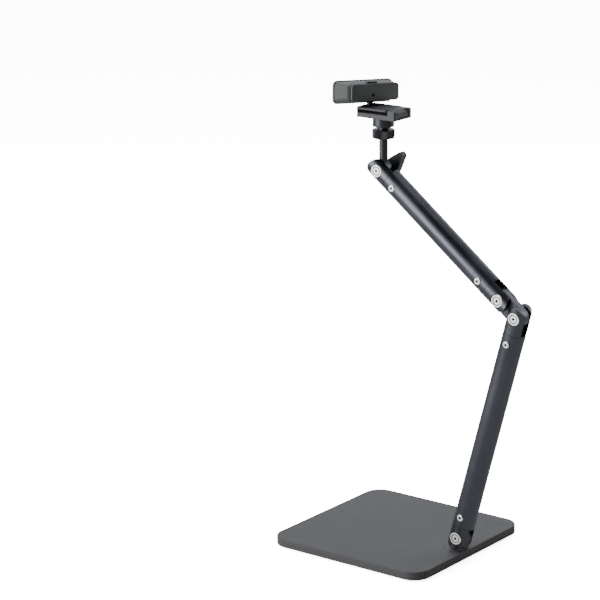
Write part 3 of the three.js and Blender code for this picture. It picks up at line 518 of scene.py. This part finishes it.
def small_screw():
    top = SMALL_SEAT + SMALL_HEAD_THICK
    radius = SMALL_HEAD / 2
    screw = turned([(SMALL_SHANK / 2, SMALL_SEAT - SMALL_SHANK_LENGTH), (SMALL_SHANK / 2, SMALL_SEAT),
                    (radius, SMALL_SEAT), (radius, top - 0.6), (radius - 0.25, top - 0.25),
                    (radius - 0.8, top), (1, top)], 48)
    return combine(screw, "DIFFERENCE",
                   rod(SMALL_SOCKET, top - SMALL_SOCKET_DEPTH, top + 1, sides=6))


# The faces in a small screw's socket, which are painted dark as shade.
def in_small_socket(point):
    sunk = SMALL_SEAT < point.z < SMALL_SEAT + SMALL_HEAD_THICK - 0.2
    return sunk and point.xy.length < SMALL_SOCKET / 2


for arm, (start, end, bottom_fork, top_fork) in ARMS.items():
    length = (end - start).length / MM
    for place_name, z in (("bottom", bottom_fork["screw"]), ("top", length - top_fork["screw"])):
        for side_name, side in (("right", 1), ("left", -1)):
            turn = Matrix.Translation((0, 0, z * MM)) @ Matrix.Rotation(side * pi / 2, 4, "Y")
            piece = ease(small_screw(), 0.12, 2)
            place = along(start, end) @ turn
            seat(piece, f"{arm}_{place_name}_screw_{side_name}", arm, bright_steel, place)
            paint_shade(piece, place, in_small_socket)

# ------------------------------------------------------------------ pivot bolts, sleeve nuts and washers
# Each pivot is a polished bolt with a wide disc head, screwed into a sleeve nut with the same head.
# A turned groove rings the middle of each head, and the groove and the socket are painted dark as shade.
# Thin nylon washers part the ears from the tongue.
HEAD_RING = 4.9
HEAD_DISC = 3.9
GROOVE_DEPTH = 0.8
SLEEVE = 8.6
SOCKET = 3.2
SOCKET_DEPTH = 2.4
NUT_SOCKET_DEPTH = 1.2
PIVOT_BOLT = 6
PIVOT_BOLT_END = -7.9
WASHER_THICK = 0.6
WASHER_GAP = 0.2
bolt_seat = PIVOT_FACE - PIVOT_HEAD_THICK
nylon = grained("washer_nylon_black", (0.03, 0.03, 0.031), 0.6, grain=1500)


# The faces in each disc head's groove and socket, which are painted dark as shade.
def in_groove(point):
    radius = point.xy.length
    sunk = PIVOT_FACE - 3 < point.z < PIVOT_FACE - 0.12
    return sunk and (HEAD_DISC < radius < HEAD_RING or radius < SOCKET / 2 + 0.05)


def headed(shank, shank_end, hex_depth):
    """A disc-headed fastener whose head looks up Z, with its shank below."""
    rim = PIVOT_HEAD / 2
    piece = turned([(shank / 2, shank_end), (shank / 2, bolt_seat), (rim, bolt_seat),
                    (rim, PIVOT_FACE - 0.8), (rim - 0.5, PIVOT_FACE), (HEAD_RING, PIVOT_FACE),
                    (HEAD_RING - 0.1, PIVOT_FACE - GROOVE_DEPTH),
                    (HEAD_DISC + 0.1, PIVOT_FACE - GROOVE_DEPTH),
                    (HEAD_DISC, PIVOT_FACE - 0.1), (1, PIVOT_FACE - 0.1)])
    return combine(piece, "DIFFERENCE",
                   rod(SOCKET, PIVOT_FACE - hex_depth, PIVOT_FACE + 1, sides=6))


def washer():
    inner_side = TONGUE / 2 + WASHER_GAP
    ring = rod(PIVOT_HEAD + 1, inner_side, inner_side + WASHER_THICK)
    return combine(ring, "DIFFERENCE", rod(SLEEVE_BORE, 0, 10))


to_right = Matrix.Rotation(pi / 2, 4, "Y")
to_left = Matrix.Rotation(-pi / 2, 4, "Y")
PIVOTS = {
    "base": ("lower_arm", along(base_pivot, lower_elbow)),
    "lower_elbow": ("elbow", along(lower_elbow, upper_elbow)),
    "upper_elbow": ("upper_arm", along(upper_elbow, head_pivot)),
}
for name, (body, place) in PIVOTS.items():
    bolt = ease(headed(PIVOT_BOLT, PIVOT_BOLT_END, SOCKET_DEPTH), 0.1, 2)
    seat(bolt, name + "_pivot_bolt", body, bright_steel, place @ to_right)
    paint_shade(bolt, place @ to_right, in_groove)
    nut = headed(SLEEVE, -TONGUE / 2 + WASHER_GAP, NUT_SOCKET_DEPTH)
    combine(nut, "DIFFERENCE", rod(BOLT_BORE, -10, bolt_seat))
    seat(ease(nut, 0.1, 2), name + "_pivot_nut", body, bright_steel, place @ to_left)
    paint_shade(nut, place @ to_left, in_groove)
    for side_name, turn in (("right", to_right), ("left", to_left)):
        seat(ease(washer(), 0.08, 1), f"{name}_washer_{side_name}", body, nylon, place @ turn)

# ------------------------------------------------------------------ elbow link
# A flat aluminium bar with round ends, bored for both elbow pivots, black anodised with the arms.
# It lies between the ears of the two forks.
link_length = (upper_elbow - lower_elbow).length / MM
link = slab(TONGUE_WIDTH, link_length + TONGUE_WIDTH, TONGUE_WIDTH / 2 - HALF_ROUND_EASE,
            -TONGUE / 2, TONGUE / 2, (0, link_length / 2), 24)
active(link)
link.rotation_euler = (pi / 2, 0, pi / 2)
bpy.ops.object.transform_apply(location=True, rotation=True, scale=True)
combine(link, "DIFFERENCE", rod(SLEEVE_BORE, -THROUGH, THROUGH, "X"),
        rod(SLEEVE_BORE, -THROUGH, THROUGH, "X", (0, link_length)))
seat(ease(link, 0.4), "elbow_link", "elbow", anodised, along(lower_elbow, upper_elbow))

# ------------------------------------------------------------------ head post
# A turned aluminium post, black anodised, with a flat round eye at its foot for the head pivot and a
# quarter-inch stud at its top that the locking nut and the clip thread on to.
POST = 9.4
POST_SETBACK = 1.8
POST_TOP = 34
STUD = 6.3
STUD_TOP = 60.7
head_place = Matrix.Translation(head_pivot)
post_place = Matrix.Translation(head_pivot + Vector((0, POST_SETBACK * MM, 0)))
head_black = grained("head_black_anodised", (0.07, 0.073, 0.08), 0.38, metallic=1.0,
                     grain=2800, depth=0.00004)
column = turned([
    (POST / 2, 6), (POST / 2, POST_TOP), (STUD / 2, POST_TOP), (STUD / 2, STUD_TOP - 0.6),
    (STUD / 2 - 0.6, STUD_TOP)])
active(column)
column.location.y = POST_SETBACK
bpy.ops.object.transform_apply(location=True, rotation=True, scale=True)
post = combine(tongue_disc(), "UNION", column)
combine(post, "DIFFERENCE", rod(SLEEVE_BORE, -THROUGH, THROUGH, "X"))
seat(ease(post, 0.35), "head_post", "head", head_black, head_place)

# ------------------------------------------------------------------ head pivot
# One long bolt through both ears, with a disc head like the others and a stud that the clamp knob
# draws up. A nylon bush and two washers let the post's eye turn on it.
KNOB_STUD = 6
STUD_END = -23.6
bolt = ease(headed(KNOB_STUD, STUD_END, SOCKET_DEPTH), 0.1, 2)
seat(bolt, "head_pivot_bolt", "upper_arm", bright_steel, head_place @ to_right)
paint_shade(bolt, head_place @ to_right, in_groove)
bush = combine(rod(SLEEVE, -TONGUE / 2 + 0.2, TONGUE / 2 - 0.2), "DIFFERENCE", rod(BOLT_BORE, -9, 9))
seat(ease(bush, 0.1, 1), "head_pivot_bush", "head", nylon, head_place @ to_right)
for side_name, turn in (("right", to_right), ("left", to_left)):
    seat(ease(washer(), 0.08, 1), "head_washer_" + side_name, "upper_arm", nylon,
         head_place @ turn)

# ------------------------------------------------------------------ clamp knob
# A moulded knob with two blunt wings for finger and thumb, thick in the middle and thin at the tips,
# on a round hub that bears on the fork. A steel insert inside it takes the stud.
KNOB_LENGTH = 41
KNOB_WIDTH = 18
KNOB_THICK = 11
KNOB_HUB = 12
HUB_LENGTH = 4
KNOB_LEAN = radians(-40)
KNOB_POINTS = 72
KNOB_TIP = 2.6
KNOB_CROWN = 3
KNOB_EASE = 0.9
knob_plastic = grained("knob_moulded", (0.046, 0.05, 0.052), 0.5, grain=1700, depth=0.00007)
inner_face = TUBE / 2 + HUB_LENGTH
bpy.ops.object.select_all(action="DESELECT")
bpy.ops.mesh.primitive_circle_add(vertices=KNOB_POINTS, radius=1, fill_type="NGON",
                                  location=(0, 0, inner_face))
knob = bpy.context.object
for number, point in enumerate(knob.data.vertices):
    turn = 2 * pi * number / KNOB_POINTS
    wide, long = cos(turn), sin(turn)
    reach = abs(long) ** 0.8
    half_width = KNOB_WIDTH / 2 + (KNOB_TIP - KNOB_WIDTH / 2) * reach ** 1.25
    shoulder = min(1, abs(wide) / 0.28)
    point.co.x = (1 if wide > 0 else -1) * half_width * shoulder ** 0.6
    point.co.y = (1 if long > 0 else -1) * reach * KNOB_LENGTH / 2
edit()
for rise in (KNOB_THICK - KNOB_CROWN, KNOB_CROWN):
    bpy.ops.mesh.extrude_region_move(TRANSFORM_OT_translate={"value": (0, 0, rise)})
bpy.ops.transform.resize(value=(0.72, 0.9, 1), center_override=(0, 0, inner_face))
knob = done()
combine(knob, "UNION", rod(KNOB_HUB, EAR_FACE + 0.2, inner_face + 1))
combine(knob, "DIFFERENCE", rod(KNOB_STUD + 0.4, 0, inner_face + KNOB_THICK - KNOB_CROWN))
ease(knob, KNOB_EASE, 4, 24)
knob_turn = Matrix.Rotation(KNOB_LEAN, 4, "X")
seat(knob, "clamp_knob", "knob", knob_plastic,
     head_place @ knob_turn @ Matrix.Rotation(-pi / 2, 4, "Y") @ Matrix.Rotation(pi / 2, 4, "Z"))

# ------------------------------------------------------------------ locking nut
# A turned ring nut with a fine straight knurl for the fingers and a narrow neck on top.
# It runs on the stud and locks the clip's collar. Black anodised aluminium.
NUT = 24.3
NUT_BOTTOM = 34.3
NUT_TOP = 43.7
NUT_NECK = 12
NUT_NECK_TOP = 46.6
KNURL_TEETH = 96
KNURL_DEPTH = 0.3
STUD_CLEARANCE = 0.4
CHAMFER = 0.9
nut = turned([(NUT / 2 - CHAMFER, NUT_BOTTOM), (NUT / 2, NUT_BOTTOM + CHAMFER),
              (NUT / 2, NUT_TOP - CHAMFER), (NUT / 2 - CHAMFER, NUT_TOP), (NUT_NECK / 2, NUT_TOP),
              (NUT_NECK / 2, NUT_NECK_TOP)], 2 * KNURL_TEETH)
share = 1 - 2 * KNURL_DEPTH / NUT
for point in nut.data.vertices:
    out = Vector((point.co.x, point.co.y))
    step = round(out.angle_signed(Vector((1, 0)), 0) / (pi / KNURL_TEETH))
    if out.length > NUT / 2 - 0.05 and step % 2:
        point.co.x *= share
        point.co.y *= share
combine(nut, "DIFFERENCE", rod(STUD + STUD_CLEARANCE, NUT_BOTTOM - 1, NUT_NECK_TOP + 1, sides=48))
active(nut)
bpy.ops.object.shade_smooth_by_angle(angle=radians(20))
seat(nut, "thumb_nut", "locking_nut", head_black, post_place)

# ------------------------------------------------------------------ clip collar
# A plain turned ring under the clip, threaded for the stud, in the same black as the nut.
# Its sharp edges are broken by a small chamfer.
COLLAR = 23
COLLAR_BOTTOM = 46.9
COLLAR_TOP = 56.4
collar = rod(COLLAR, COLLAR_BOTTOM, COLLAR_TOP, sides=96)
combine(collar, "DIFFERENCE", rod(STUD + STUD_CLEARANCE, COLLAR_BOTTOM - 1, COLLAR_TOP + 1, sides=48))
seat(ease(collar, 0.5), "clip_collar", "clip", head_black, post_place)

# ------------------------------------------------------------------ clip base
# The moulded lower half of the monitor clip: a flat block with two ears at the rear for the hinge
# pin, a pocket in the rear face for the folding leg and a shallow recess on top for the rubber.
CLIP_WIDTH = 31
CLIP_FRONT = 23.4
CLIP_REAR = 25.8
CLIP_BOTTOM = 56.7
THROAT_BOTTOM = 61.7
JAW_BOTTOM = 65.3
JAW_TOP = 67.3
EAR_WIDTH = 4.4
EAR_CORNER = 2.2
KNUCKLE = 6.2
HINGE_PIN = 2.6
LEG_PIN = 1
LEG_THICK = 2
HINGE = (19.8, 64)
LEG_AXIS = (24.5, 59.6)
POCKET_FLOOR = 58.3
EAR_FRONT = HINGE[0] - KNUCKLE / 2 - 0.6
RUBBER_INSET = 3
RUBBER_THICK = 0.8
PIN_CLEARANCE = 0.4
PIN_WALL = 1
LEG_PIN_WALL = 2.5
clip_plastic = grained("clip_moulded", (0.038, 0.041, 0.047), 0.46, grain=1900, depth=0.00006)
inner = CLIP_WIDTH / 2 - EAR_WIDTH
ear_top = HINGE[1] + KNUCKLE / 2


def clip_corners(bottom, top, width=CLIP_WIDTH, front=CLIP_FRONT, corner=2):
    return slab(width, front + CLIP_REAR, corner, bottom, top, (0, (CLIP_REAR - front) / 2))


def rubber_sheet(clearance, bottom, top):
    length = CLIP_FRONT + EAR_FRONT - 2 * RUBBER_INSET + 2 * clearance
    width = CLIP_WIDTH - 2 * RUBBER_INSET + 2 * clearance
    return slab(width, length, 2, bottom, top, (0, (EAR_FRONT - CLIP_FRONT) / 2))


clip_base = clip_corners(CLIP_BOTTOM, THROAT_BOTTOM)
for x0, x1 in ((inner, CLIP_WIDTH / 2), (-CLIP_WIDTH / 2, -inner)):
    ear = block(x0, x1, EAR_FRONT, CLIP_REAR, THROAT_BOTTOM - 1, ear_top)
    edit("DESELECT")
    pick_edges(ear, lambda a, b: min(a.y, b.y) > CLIP_REAR - 0.1 and min(a.z, b.z) > ear_top - 0.1)
    bpy.ops.mesh.bevel(offset=EAR_CORNER, segments=8, affect="EDGES")
    combine(clip_base, "UNION", done())
combine(clip_base, "INTERSECT", clip_corners(CLIP_BOTTOM - 1, JAW_TOP + 2))
combine(
    clip_base, "DIFFERENCE",
    rod(HINGE_PIN + PIN_CLEARANCE, -CLIP_WIDTH / 2 + PIN_WALL, CLIP_WIDTH / 2 - PIN_WALL, "X", HINGE, 32),
    rod(KNUCKLE + 0.6, -inner, inner, "X", HINGE),
    block(-inner + 0.8, inner - 0.8, CLIP_REAR - LEG_THICK - 0.6, CLIP_REAR + 1, POCKET_FLOOR, 80),
    rubber_sheet(0.2, THROAT_BOTTOM - RUBBER_THICK, THROAT_BOTTOM + 0.5),
    rod(LEG_PIN + PIN_CLEARANCE, -CLIP_WIDTH / 2 + LEG_PIN_WALL, CLIP_WIDTH / 2 - LEG_PIN_WALL, "X",
        LEG_AXIS, 32),
    rod(STUD + 0.6, CLIP_BOTTOM - 1, THROAT_BOTTOM + 1, sides=48),
)
seat(ease(clip_base, 0.35), "clip_base", "clip", clip_plastic, post_place)

# ------------------------------------------------------------------ clip rubber, hinge pin and leg pin
# A glued sheet of soft rubber grips the screen's edge, holed for the stud. Two plain steel pins,
# pressed into the ears, carry the jaw and the leg.
rubber = rubber_sheet(0, THROAT_BOTTOM - RUBBER_THICK + 0.2, THROAT_BOTTOM + 0.2)
combine(rubber, "DIFFERENCE", rod(STUD + 2, THROAT_BOTTOM - 3, THROAT_BOTTOM + 3, sides=48))
seat(ease(rubber, 0.12, 2), "clip_rubber", "clip", pad_rubber, post_place)
hinge_half = CLIP_WIDTH / 2 - PIN_WALL - GAP
hinge_pin = rod(HINGE_PIN, -hinge_half, hinge_half, "X", HINGE, 32)
seat(ease(hinge_pin, 0.15, 2), "clip_hinge_pin", "clip", zinc_steel, post_place)
leg_pin_half = CLIP_WIDTH / 2 - LEG_PIN_WALL - GAP
leg_pin = rod(LEG_PIN, -leg_pin_half, leg_pin_half, "X", LEG_AXIS, 32)
seat(ease(leg_pin, 0.1, 2), "clip_leg_pin", "clip", zinc_steel, post_place)

# ------------------------------------------------------------------ clip leg
# A flat moulded flap that folds out of the clip's rear face to brace it against a screen's back.
# A gap along one side lets a fingernail pull it out.
LEG_TOP = 64.9
LEG_NOTCH = 2.4
leg_half = inner - 1.1
leg_y, leg_z = LEG_AXIS
leg = block(-leg_half, leg_half, leg_y - LEG_THICK / 2, leg_y + LEG_THICK / 2, leg_z, LEG_TOP)
combine(leg, "UNION", rod(LEG_THICK, -leg_half, leg_half, "X", LEG_AXIS, 32))
combine(leg, "DIFFERENCE", rod(LEG_PIN + PIN_CLEARANCE, -leg_half - 1, leg_half + 1, "X", LEG_AXIS, 32),
        block(-leg_half - 1, -leg_half + LEG_NOTCH, leg_y - 3, leg_y + 3, leg_z + LEG_THICK, LEG_TOP + 1))
seat(ease(leg, 0.2, 2), "clip_leg", "leg", clip_plastic, post_place)

# ------------------------------------------------------------------ clip jaw
# The moulded upper half of the clip: a thin plate with a lip that hooks over the front, and a
# knuckle at the rear that turns on the hinge pin. The camera's neck plugs into its front end.
JAW_WIDTH = 32
JAW_FRONT = CLIP_FRONT + 2.3
JAW_LIP = 11.4
JAW_LIP_THICK = 2
JAW_REAR_CORNER = 5
NECK_FORWARD = 17.7
NECK_PLUG = 4
plate_rear = EAR_FRONT - 1.2
half = JAW_WIDTH / 2
jaw = slab(JAW_WIDTH, JAW_FRONT + plate_rear, 2.5, JAW_BOTTOM, JAW_TOP,
           (0, (plate_rear - JAW_FRONT) / 2))
web_half = inner - GAP
combine(
    jaw, "UNION",
    block(-half, half, -JAW_FRONT, -JAW_FRONT + JAW_LIP_THICK, JAW_TOP - JAW_LIP, JAW_TOP),
    block(-web_half, web_half, plate_rear - 4, HINGE[0], JAW_BOTTOM, JAW_TOP),
    rod(KNUCKLE, -web_half, web_half, "X", HINGE),
)
combine(jaw, "INTERSECT", slab(JAW_WIDTH, JAW_FRONT + CLIP_REAR, JAW_REAR_CORNER, 40, 90,
                               (0, (CLIP_REAR - JAW_FRONT) / 2), 16))
combine(jaw, "DIFFERENCE", rod(HINGE_PIN + PIN_CLEARANCE, -half, half, "X", HINGE, 32),
        rod(NECK_PLUG + 0.4, JAW_BOTTOM - 1, JAW_TOP + 1, "Z", (0, -NECK_FORWARD), 32))
seat(ease(jaw, 0.35), "clip_jaw", "jaw", clip_plastic, post_place)

# ------------------------------------------------------------------ camera neck
# A small black cup plugs into the jaw and holds a ball; a steel pin through the ball carries the
# camera, so that the camera pans, rolls and tilts on one point.
BALL = 6
BALL_RISE = 5.6
TILT_PIN = 1.8
PIN_HOLE = TILT_PIN + 0.4
TILT_PIN_HALF = 5.3
CUP_PLUG = 4
CUP = 6.6
ball_centre = Vector(joints["camera_tilt"]["pos_m"])
camera_x = Vector(joints["camera_tilt"]["axis"]).normalized()
camera_z = -Vector(joints["button_press"]["axis"]).normalized()
camera_y = camera_z.cross(camera_x)
neck_black = grained("neck_moulded_black", (0.014, 0.014, 0.015), 0.38, grain=1500, depth=0.00005)
cup_top = -1.9
cup_floor = -BALL_RISE + 0.3
cup = turned([(CUP_PLUG / 2, -BALL_RISE - 1.7), (CUP_PLUG / 2, cup_floor), (CUP / 2, cup_floor),
              (CUP / 2, cup_top)])
bpy.ops.object.select_all(action="DESELECT")
bpy.ops.mesh.primitive_uv_sphere_add(segments=48, ring_count=24, radius=BALL / 2 + 0.3)
combine(cup, "DIFFERENCE", bpy.context.object)
seat(ease(cup, 0.15, 2), "neck_cup", "neck", neck_black, Matrix.Translation(ball_centre))
tilt_frame = Matrix.Translation(ball_centre) @ Matrix((camera_x, camera_y, camera_z)).transposed().to_4x4()
bpy.ops.object.select_all(action="DESELECT")
bpy.ops.mesh.primitive_uv_sphere_add(segments=48, ring_count=24, radius=BALL / 2)
ball = combine(bpy.context.object, "DIFFERENCE", rod(PIN_HOLE, -BALL, BALL, "X", sides=32))
seat(ease(ball, 0.1, 2, 40), "neck_ball", "ball", neck_black, tilt_frame)
tilt_pin = rod(TILT_PIN, -TILT_PIN_HALF, TILT_PIN_HALF, "X", sides=32)
seat(ease(tilt_pin, 0.15, 2), "camera_tilt_pin", "camera", zinc_steel, tilt_frame)

# ------------------------------------------------------------------ camera shell
# The webcam's main moulding, in soft-touch grey plastic: a hollow bar that tapers a little towards
# the rear, open at both ends, with a well in its belly for the neck and a slot on top for the button.
CAMERA_RISE = 8.8
CAMERA_FORWARD = 2
SHELL_FRONT = -7.8
SHELL_REAR = 8.6
SHELL_WIDTH = 84
SHELL_HEIGHT = 22.8
REAR_WIDTH = 68
REAR_HEIGHT = 18.4
SHELL_CORNER = 5
SHELL_WALL = 1.8
BUTTON_LENGTH = 15
BUTTON_WIDTH = 5.4
BUTTON_Y = 4.2
shell_plastic = grained("camera_soft_touch", (0.076, 0.082, 0.083), 0.5, grain=2200, depth=0.00005,
                        mottle=0.06)
camera_place = tilt_frame @ Matrix.Translation((0, -CAMERA_FORWARD * MM, CAMERA_RISE * MM))


def bar(front, rear, inset, corner, segments=14):
    """A block along Y whose section shrinks evenly towards the rear, its long edges rounded."""
    shares = [(y - SHELL_FRONT) / (SHELL_REAR - SHELL_FRONT) for y in (front, rear)]
    wide = [SHELL_WIDTH + (REAR_WIDTH - SHELL_WIDTH) * share for share in shares]
    tall = [SHELL_HEIGHT + (REAR_HEIGHT - SHELL_HEIGHT) * share for share in shares]
    piece = block(-wide[0] / 2 + inset, wide[0] / 2 - inset, front, rear,
                  -tall[0] / 2 + inset, tall[0] / 2 - inset)
    edit("DESELECT")
    pick_edges(piece, lambda a, b: min(a.y, b.y) > rear - 0.01)
    shrink = [(size[1] / 2 - inset) / (size[0] / 2 - inset) for size in (wide, tall)]
    bpy.ops.transform.resize(value=(shrink[0], 1, shrink[1]), center_override=(0, 0, 0))
    pick_edges(piece, lambda a, b: abs(a.y - b.y) > 0.5 * (rear - front))
    bpy.ops.mesh.bevel(offset=corner, segments=segments, affect="EDGES")
    return done()


def button_shape(clearance, bottom, top):
    width = BUTTON_WIDTH + 2 * clearance
    return slab(BUTTON_LENGTH + 2 * clearance, width, width / 2 - 0.02, bottom, top, (0, BUTTON_Y), 14)


shell = bar(SHELL_FRONT, SHELL_REAR, 0, SHELL_CORNER)
combine(shell, "DIFFERENCE", bar(SHELL_FRONT - 1, SHELL_REAR + 1, SHELL_WALL, SHELL_CORNER - SHELL_WALL))
well = BALL + 3.2
well_top = -CAMERA_RISE + BALL / 2 + 2
belly = rod(well + 2.6, -14, well_top, "Z", (0, CAMERA_FORWARD))
combine(belly, "INTERSECT", bar(SHELL_FRONT, SHELL_REAR, 0, SHELL_CORNER))
combine(shell, "UNION", belly)
combine(shell, "DIFFERENCE", rod(well, -30, well_top - 1.4, "Z", (0, CAMERA_FORWARD)),
        rod(PIN_HOLE, -6.9, -3.8, "X", (CAMERA_FORWARD, -CAMERA_RISE), 32),
        rod(PIN_HOLE, 3.8, 6.9, "X", (CAMERA_FORWARD, -CAMERA_RISE), 32),
        button_shape(0.3, 0, 30))
seat(ease(shell, 0.3, 3), "camera_shell", "camera", shell_plastic, camera_place)

# ------------------------------------------------------------------ front bezel
# A flat moulded front with rounded corners, a little wider than the shell, glued over its open
# front. A round opening holds the lens at the bottom of a shallow dark recess.
BEZEL_WIDTH = 85
BEZEL_HEIGHT = 24.8
BEZEL_CORNER = 6
BEZEL_FRONT = -11
BEZEL_BACK = -8.1
LENS_OPENING = 18.6
bezel_plastic = grained("bezel_moulded", (0.074, 0.079, 0.078), 0.5, grain=2000, depth=0.00005,
                        mottle=0.06)
on_front = Matrix.Rotation(pi / 2, 4, "X")


def plate_on_y(width, height, corner, front, back, segments=16):
    """A rounded plate whose faces look along Y."""
    piece = slab(width, height, corner, -back, -front, segments=segments)
    active(piece)
    piece.rotation_euler = (pi / 2, 0, 0)
    bpy.ops.object.transform_apply(location=True, rotation=True, scale=True)
    return piece


bezel = plate_on_y(BEZEL_WIDTH, BEZEL_HEIGHT, BEZEL_CORNER, BEZEL_FRONT, BEZEL_BACK)
combine(bezel, "DIFFERENCE", rod(LENS_OPENING, -20, 0, "Y", sides=96))
seat(ease(bezel, 0.55, 4), "front_bezel", "camera", bezel_plastic, camera_place)

# ------------------------------------------------------------------ rear cover and cable grommet
# A moulded plate closes the rear, located by a step inside the shell, with a small round hole where
# the signal lead would plug in. A rubber grommet lines the hole.
COVER_FRONT = 8.9
COVER_THICK = 2
COVER_STEP = 0.7
HOLE = 3.2
HOLE_PLACE = (3.5, -3)
GROMMET = 5.4
SPIGOT_INSET = 2.8
cover = plate_on_y(REAR_WIDTH, REAR_HEIGHT, 4, COVER_FRONT, COVER_FRONT + COVER_THICK)
ease(cover, 0.5, 4)
spigot = plate_on_y(REAR_WIDTH - 2 * SPIGOT_INSET, REAR_HEIGHT - 2 * SPIGOT_INSET, 4,
                    COVER_FRONT - COVER_STEP, COVER_FRONT + 0.5)
combine(cover, "UNION", spigot)
combine(cover, "DIFFERENCE", rod(HOLE + 0.4, 0, 20, "Y", HOLE_PLACE, 48),
        rod(GROMMET + 0.4, 0, COVER_FRONT + 0.4, "Y", HOLE_PLACE, 48))
active(cover)
bpy.ops.object.shade_smooth_by_angle(angle=radians(32))
seat(cover, "rear_cover", "camera", shell_plastic, camera_place)
grommet = combine(rod(GROMMET, COVER_FRONT - COVER_STEP, COVER_FRONT + 0.2, "Y", HOLE_PLACE, 48), "UNION",
                  rod(HOLE, COVER_FRONT, COVER_FRONT + COVER_THICK - 0.3, "Y", HOLE_PLACE, 48))
combine(grommet, "DIFFERENCE", rod(HOLE - 0.8, 0, 20, "Y", HOLE_PLACE, 48))
seat(ease(grommet, 0.12, 2), "cable_grommet", "camera", neck_black, camera_place)

# ------------------------------------------------------------------ lens
# A satin silver ring is pressed into the recess, stepped down to a small domed front glass. The
# black barrel behind it holds the lens over the sensor.
RING_FRONT = -9.7
RING = 17.8
GLASS = 6
lens_silver = grained("lens_ring_satin", (0.42, 0.41, 0.4), 0.3, metallic=0.9, grain=3000, depth=0.00002)
lens_glass = bpy.data.materials.new("lens_coated_glass")
lens_glass.use_nodes = True
glass_shader = lens_glass.node_tree.nodes["Principled BSDF"]
glass_shader.inputs["Base Color"].default_value = (0.006, 0.006, 0.012, 1)
glass_shader.inputs["Roughness"].default_value = 0.04
glass_shader.inputs["Coat Weight"].default_value = 1.0
glass_shader.inputs["Coat Roughness"].default_value = 0.03
glass_shader.inputs["Coat Tint"].default_value = (0.62, 0.6, 1.0, 1)
depth = RING_FRONT
ring = turned([(RING / 2, -depth - 1), (RING / 2, -depth - 0.2), (RING / 2 - 0.3, -depth),
               (RING / 2 - 2.2, -depth), (RING / 2 - 2.5, -depth - 0.25), (5.2, -depth - 0.25),
               (4.4, -depth - 0.7), (3.3, -depth - 0.8)], 96)
combine(ring, "DIFFERENCE", rod(6.6, 0, 30))
seat(ease(ring, 0.06, 2), "lens_ring", "camera", lens_silver, camera_place @ on_front)
glass_front = 10
dome = [(GLASS / 2, glass_front - 1.2), (GLASS / 2, glass_front - 0.5)]
for angle in (15, 30, 45, 60, 75, 87):
    dome.append((GLASS / 2 * cos(radians(angle)), glass_front - 0.5 + 0.5 * sin(radians(angle))))
glass = turned(dome)
active(glass)
bpy.ops.object.shade_smooth_by_angle(angle=radians(40))
seat(glass, "lens_glass", "camera", lens_glass, camera_place @ on_front)
barrel = rod(12, 6.4, 8.4)
combine(barrel, "DIFFERENCE", rod(7.4, 0, 20))
seat(ease(barrel, 0.15, 2), "lens_barrel", "camera", neck_black, camera_place @ on_front)

# ------------------------------------------------------------------ circuit board and sensor
# A green glass-fibre board behind the lens, screwed to the shell by its two ends, with the image
# sensor soldered to its middle. Both are sealed inside and never seen.
board_green = grained("board_solder_mask", (0.02, 0.1, 0.05), 0.45, grain=600, depth=0.00002)
for name, paint in (("circuit_board", board_green), ("image_sensor", neck_black)):
    inside = frame["nodes"][name].data
    inside.materials.clear()
    inside.materials.append(paint)

# ------------------------------------------------------------------ top button
# A black rocker with round ends that stands proud of the shell. A wider foot under the roof keeps
# it in, and a switch on the board springs it back.
BUTTON_PROUD = 1.5
BUTTON_FOOT = 9
BUTTON_STEM = 4
share = (BUTTON_Y - SHELL_FRONT) / (SHELL_REAR - SHELL_FRONT)
button_top = (SHELL_HEIGHT + (REAR_HEIGHT - SHELL_HEIGHT) * share) / 2 + BUTTON_PROUD
button = button_shape(0, button_top - 3, button_top)
ease(button, 0.6, 4)
stem_half = 2
combine(button, "UNION",
        block(-BUTTON_STEM, BUTTON_STEM, BUTTON_Y - stem_half, BUTTON_Y + stem_half,
              button_top - 4.4, button_top - 2),
        block(-BUTTON_FOOT, BUTTON_FOOT, BUTTON_Y - 3, BUTTON_Y + stem_half,
              button_top - 5.2, button_top - 3.9))
active(button)
bpy.ops.object.shade_smooth_by_angle(angle=radians(32))
seat(button, "top_button", "button", neck_black, camera_place)
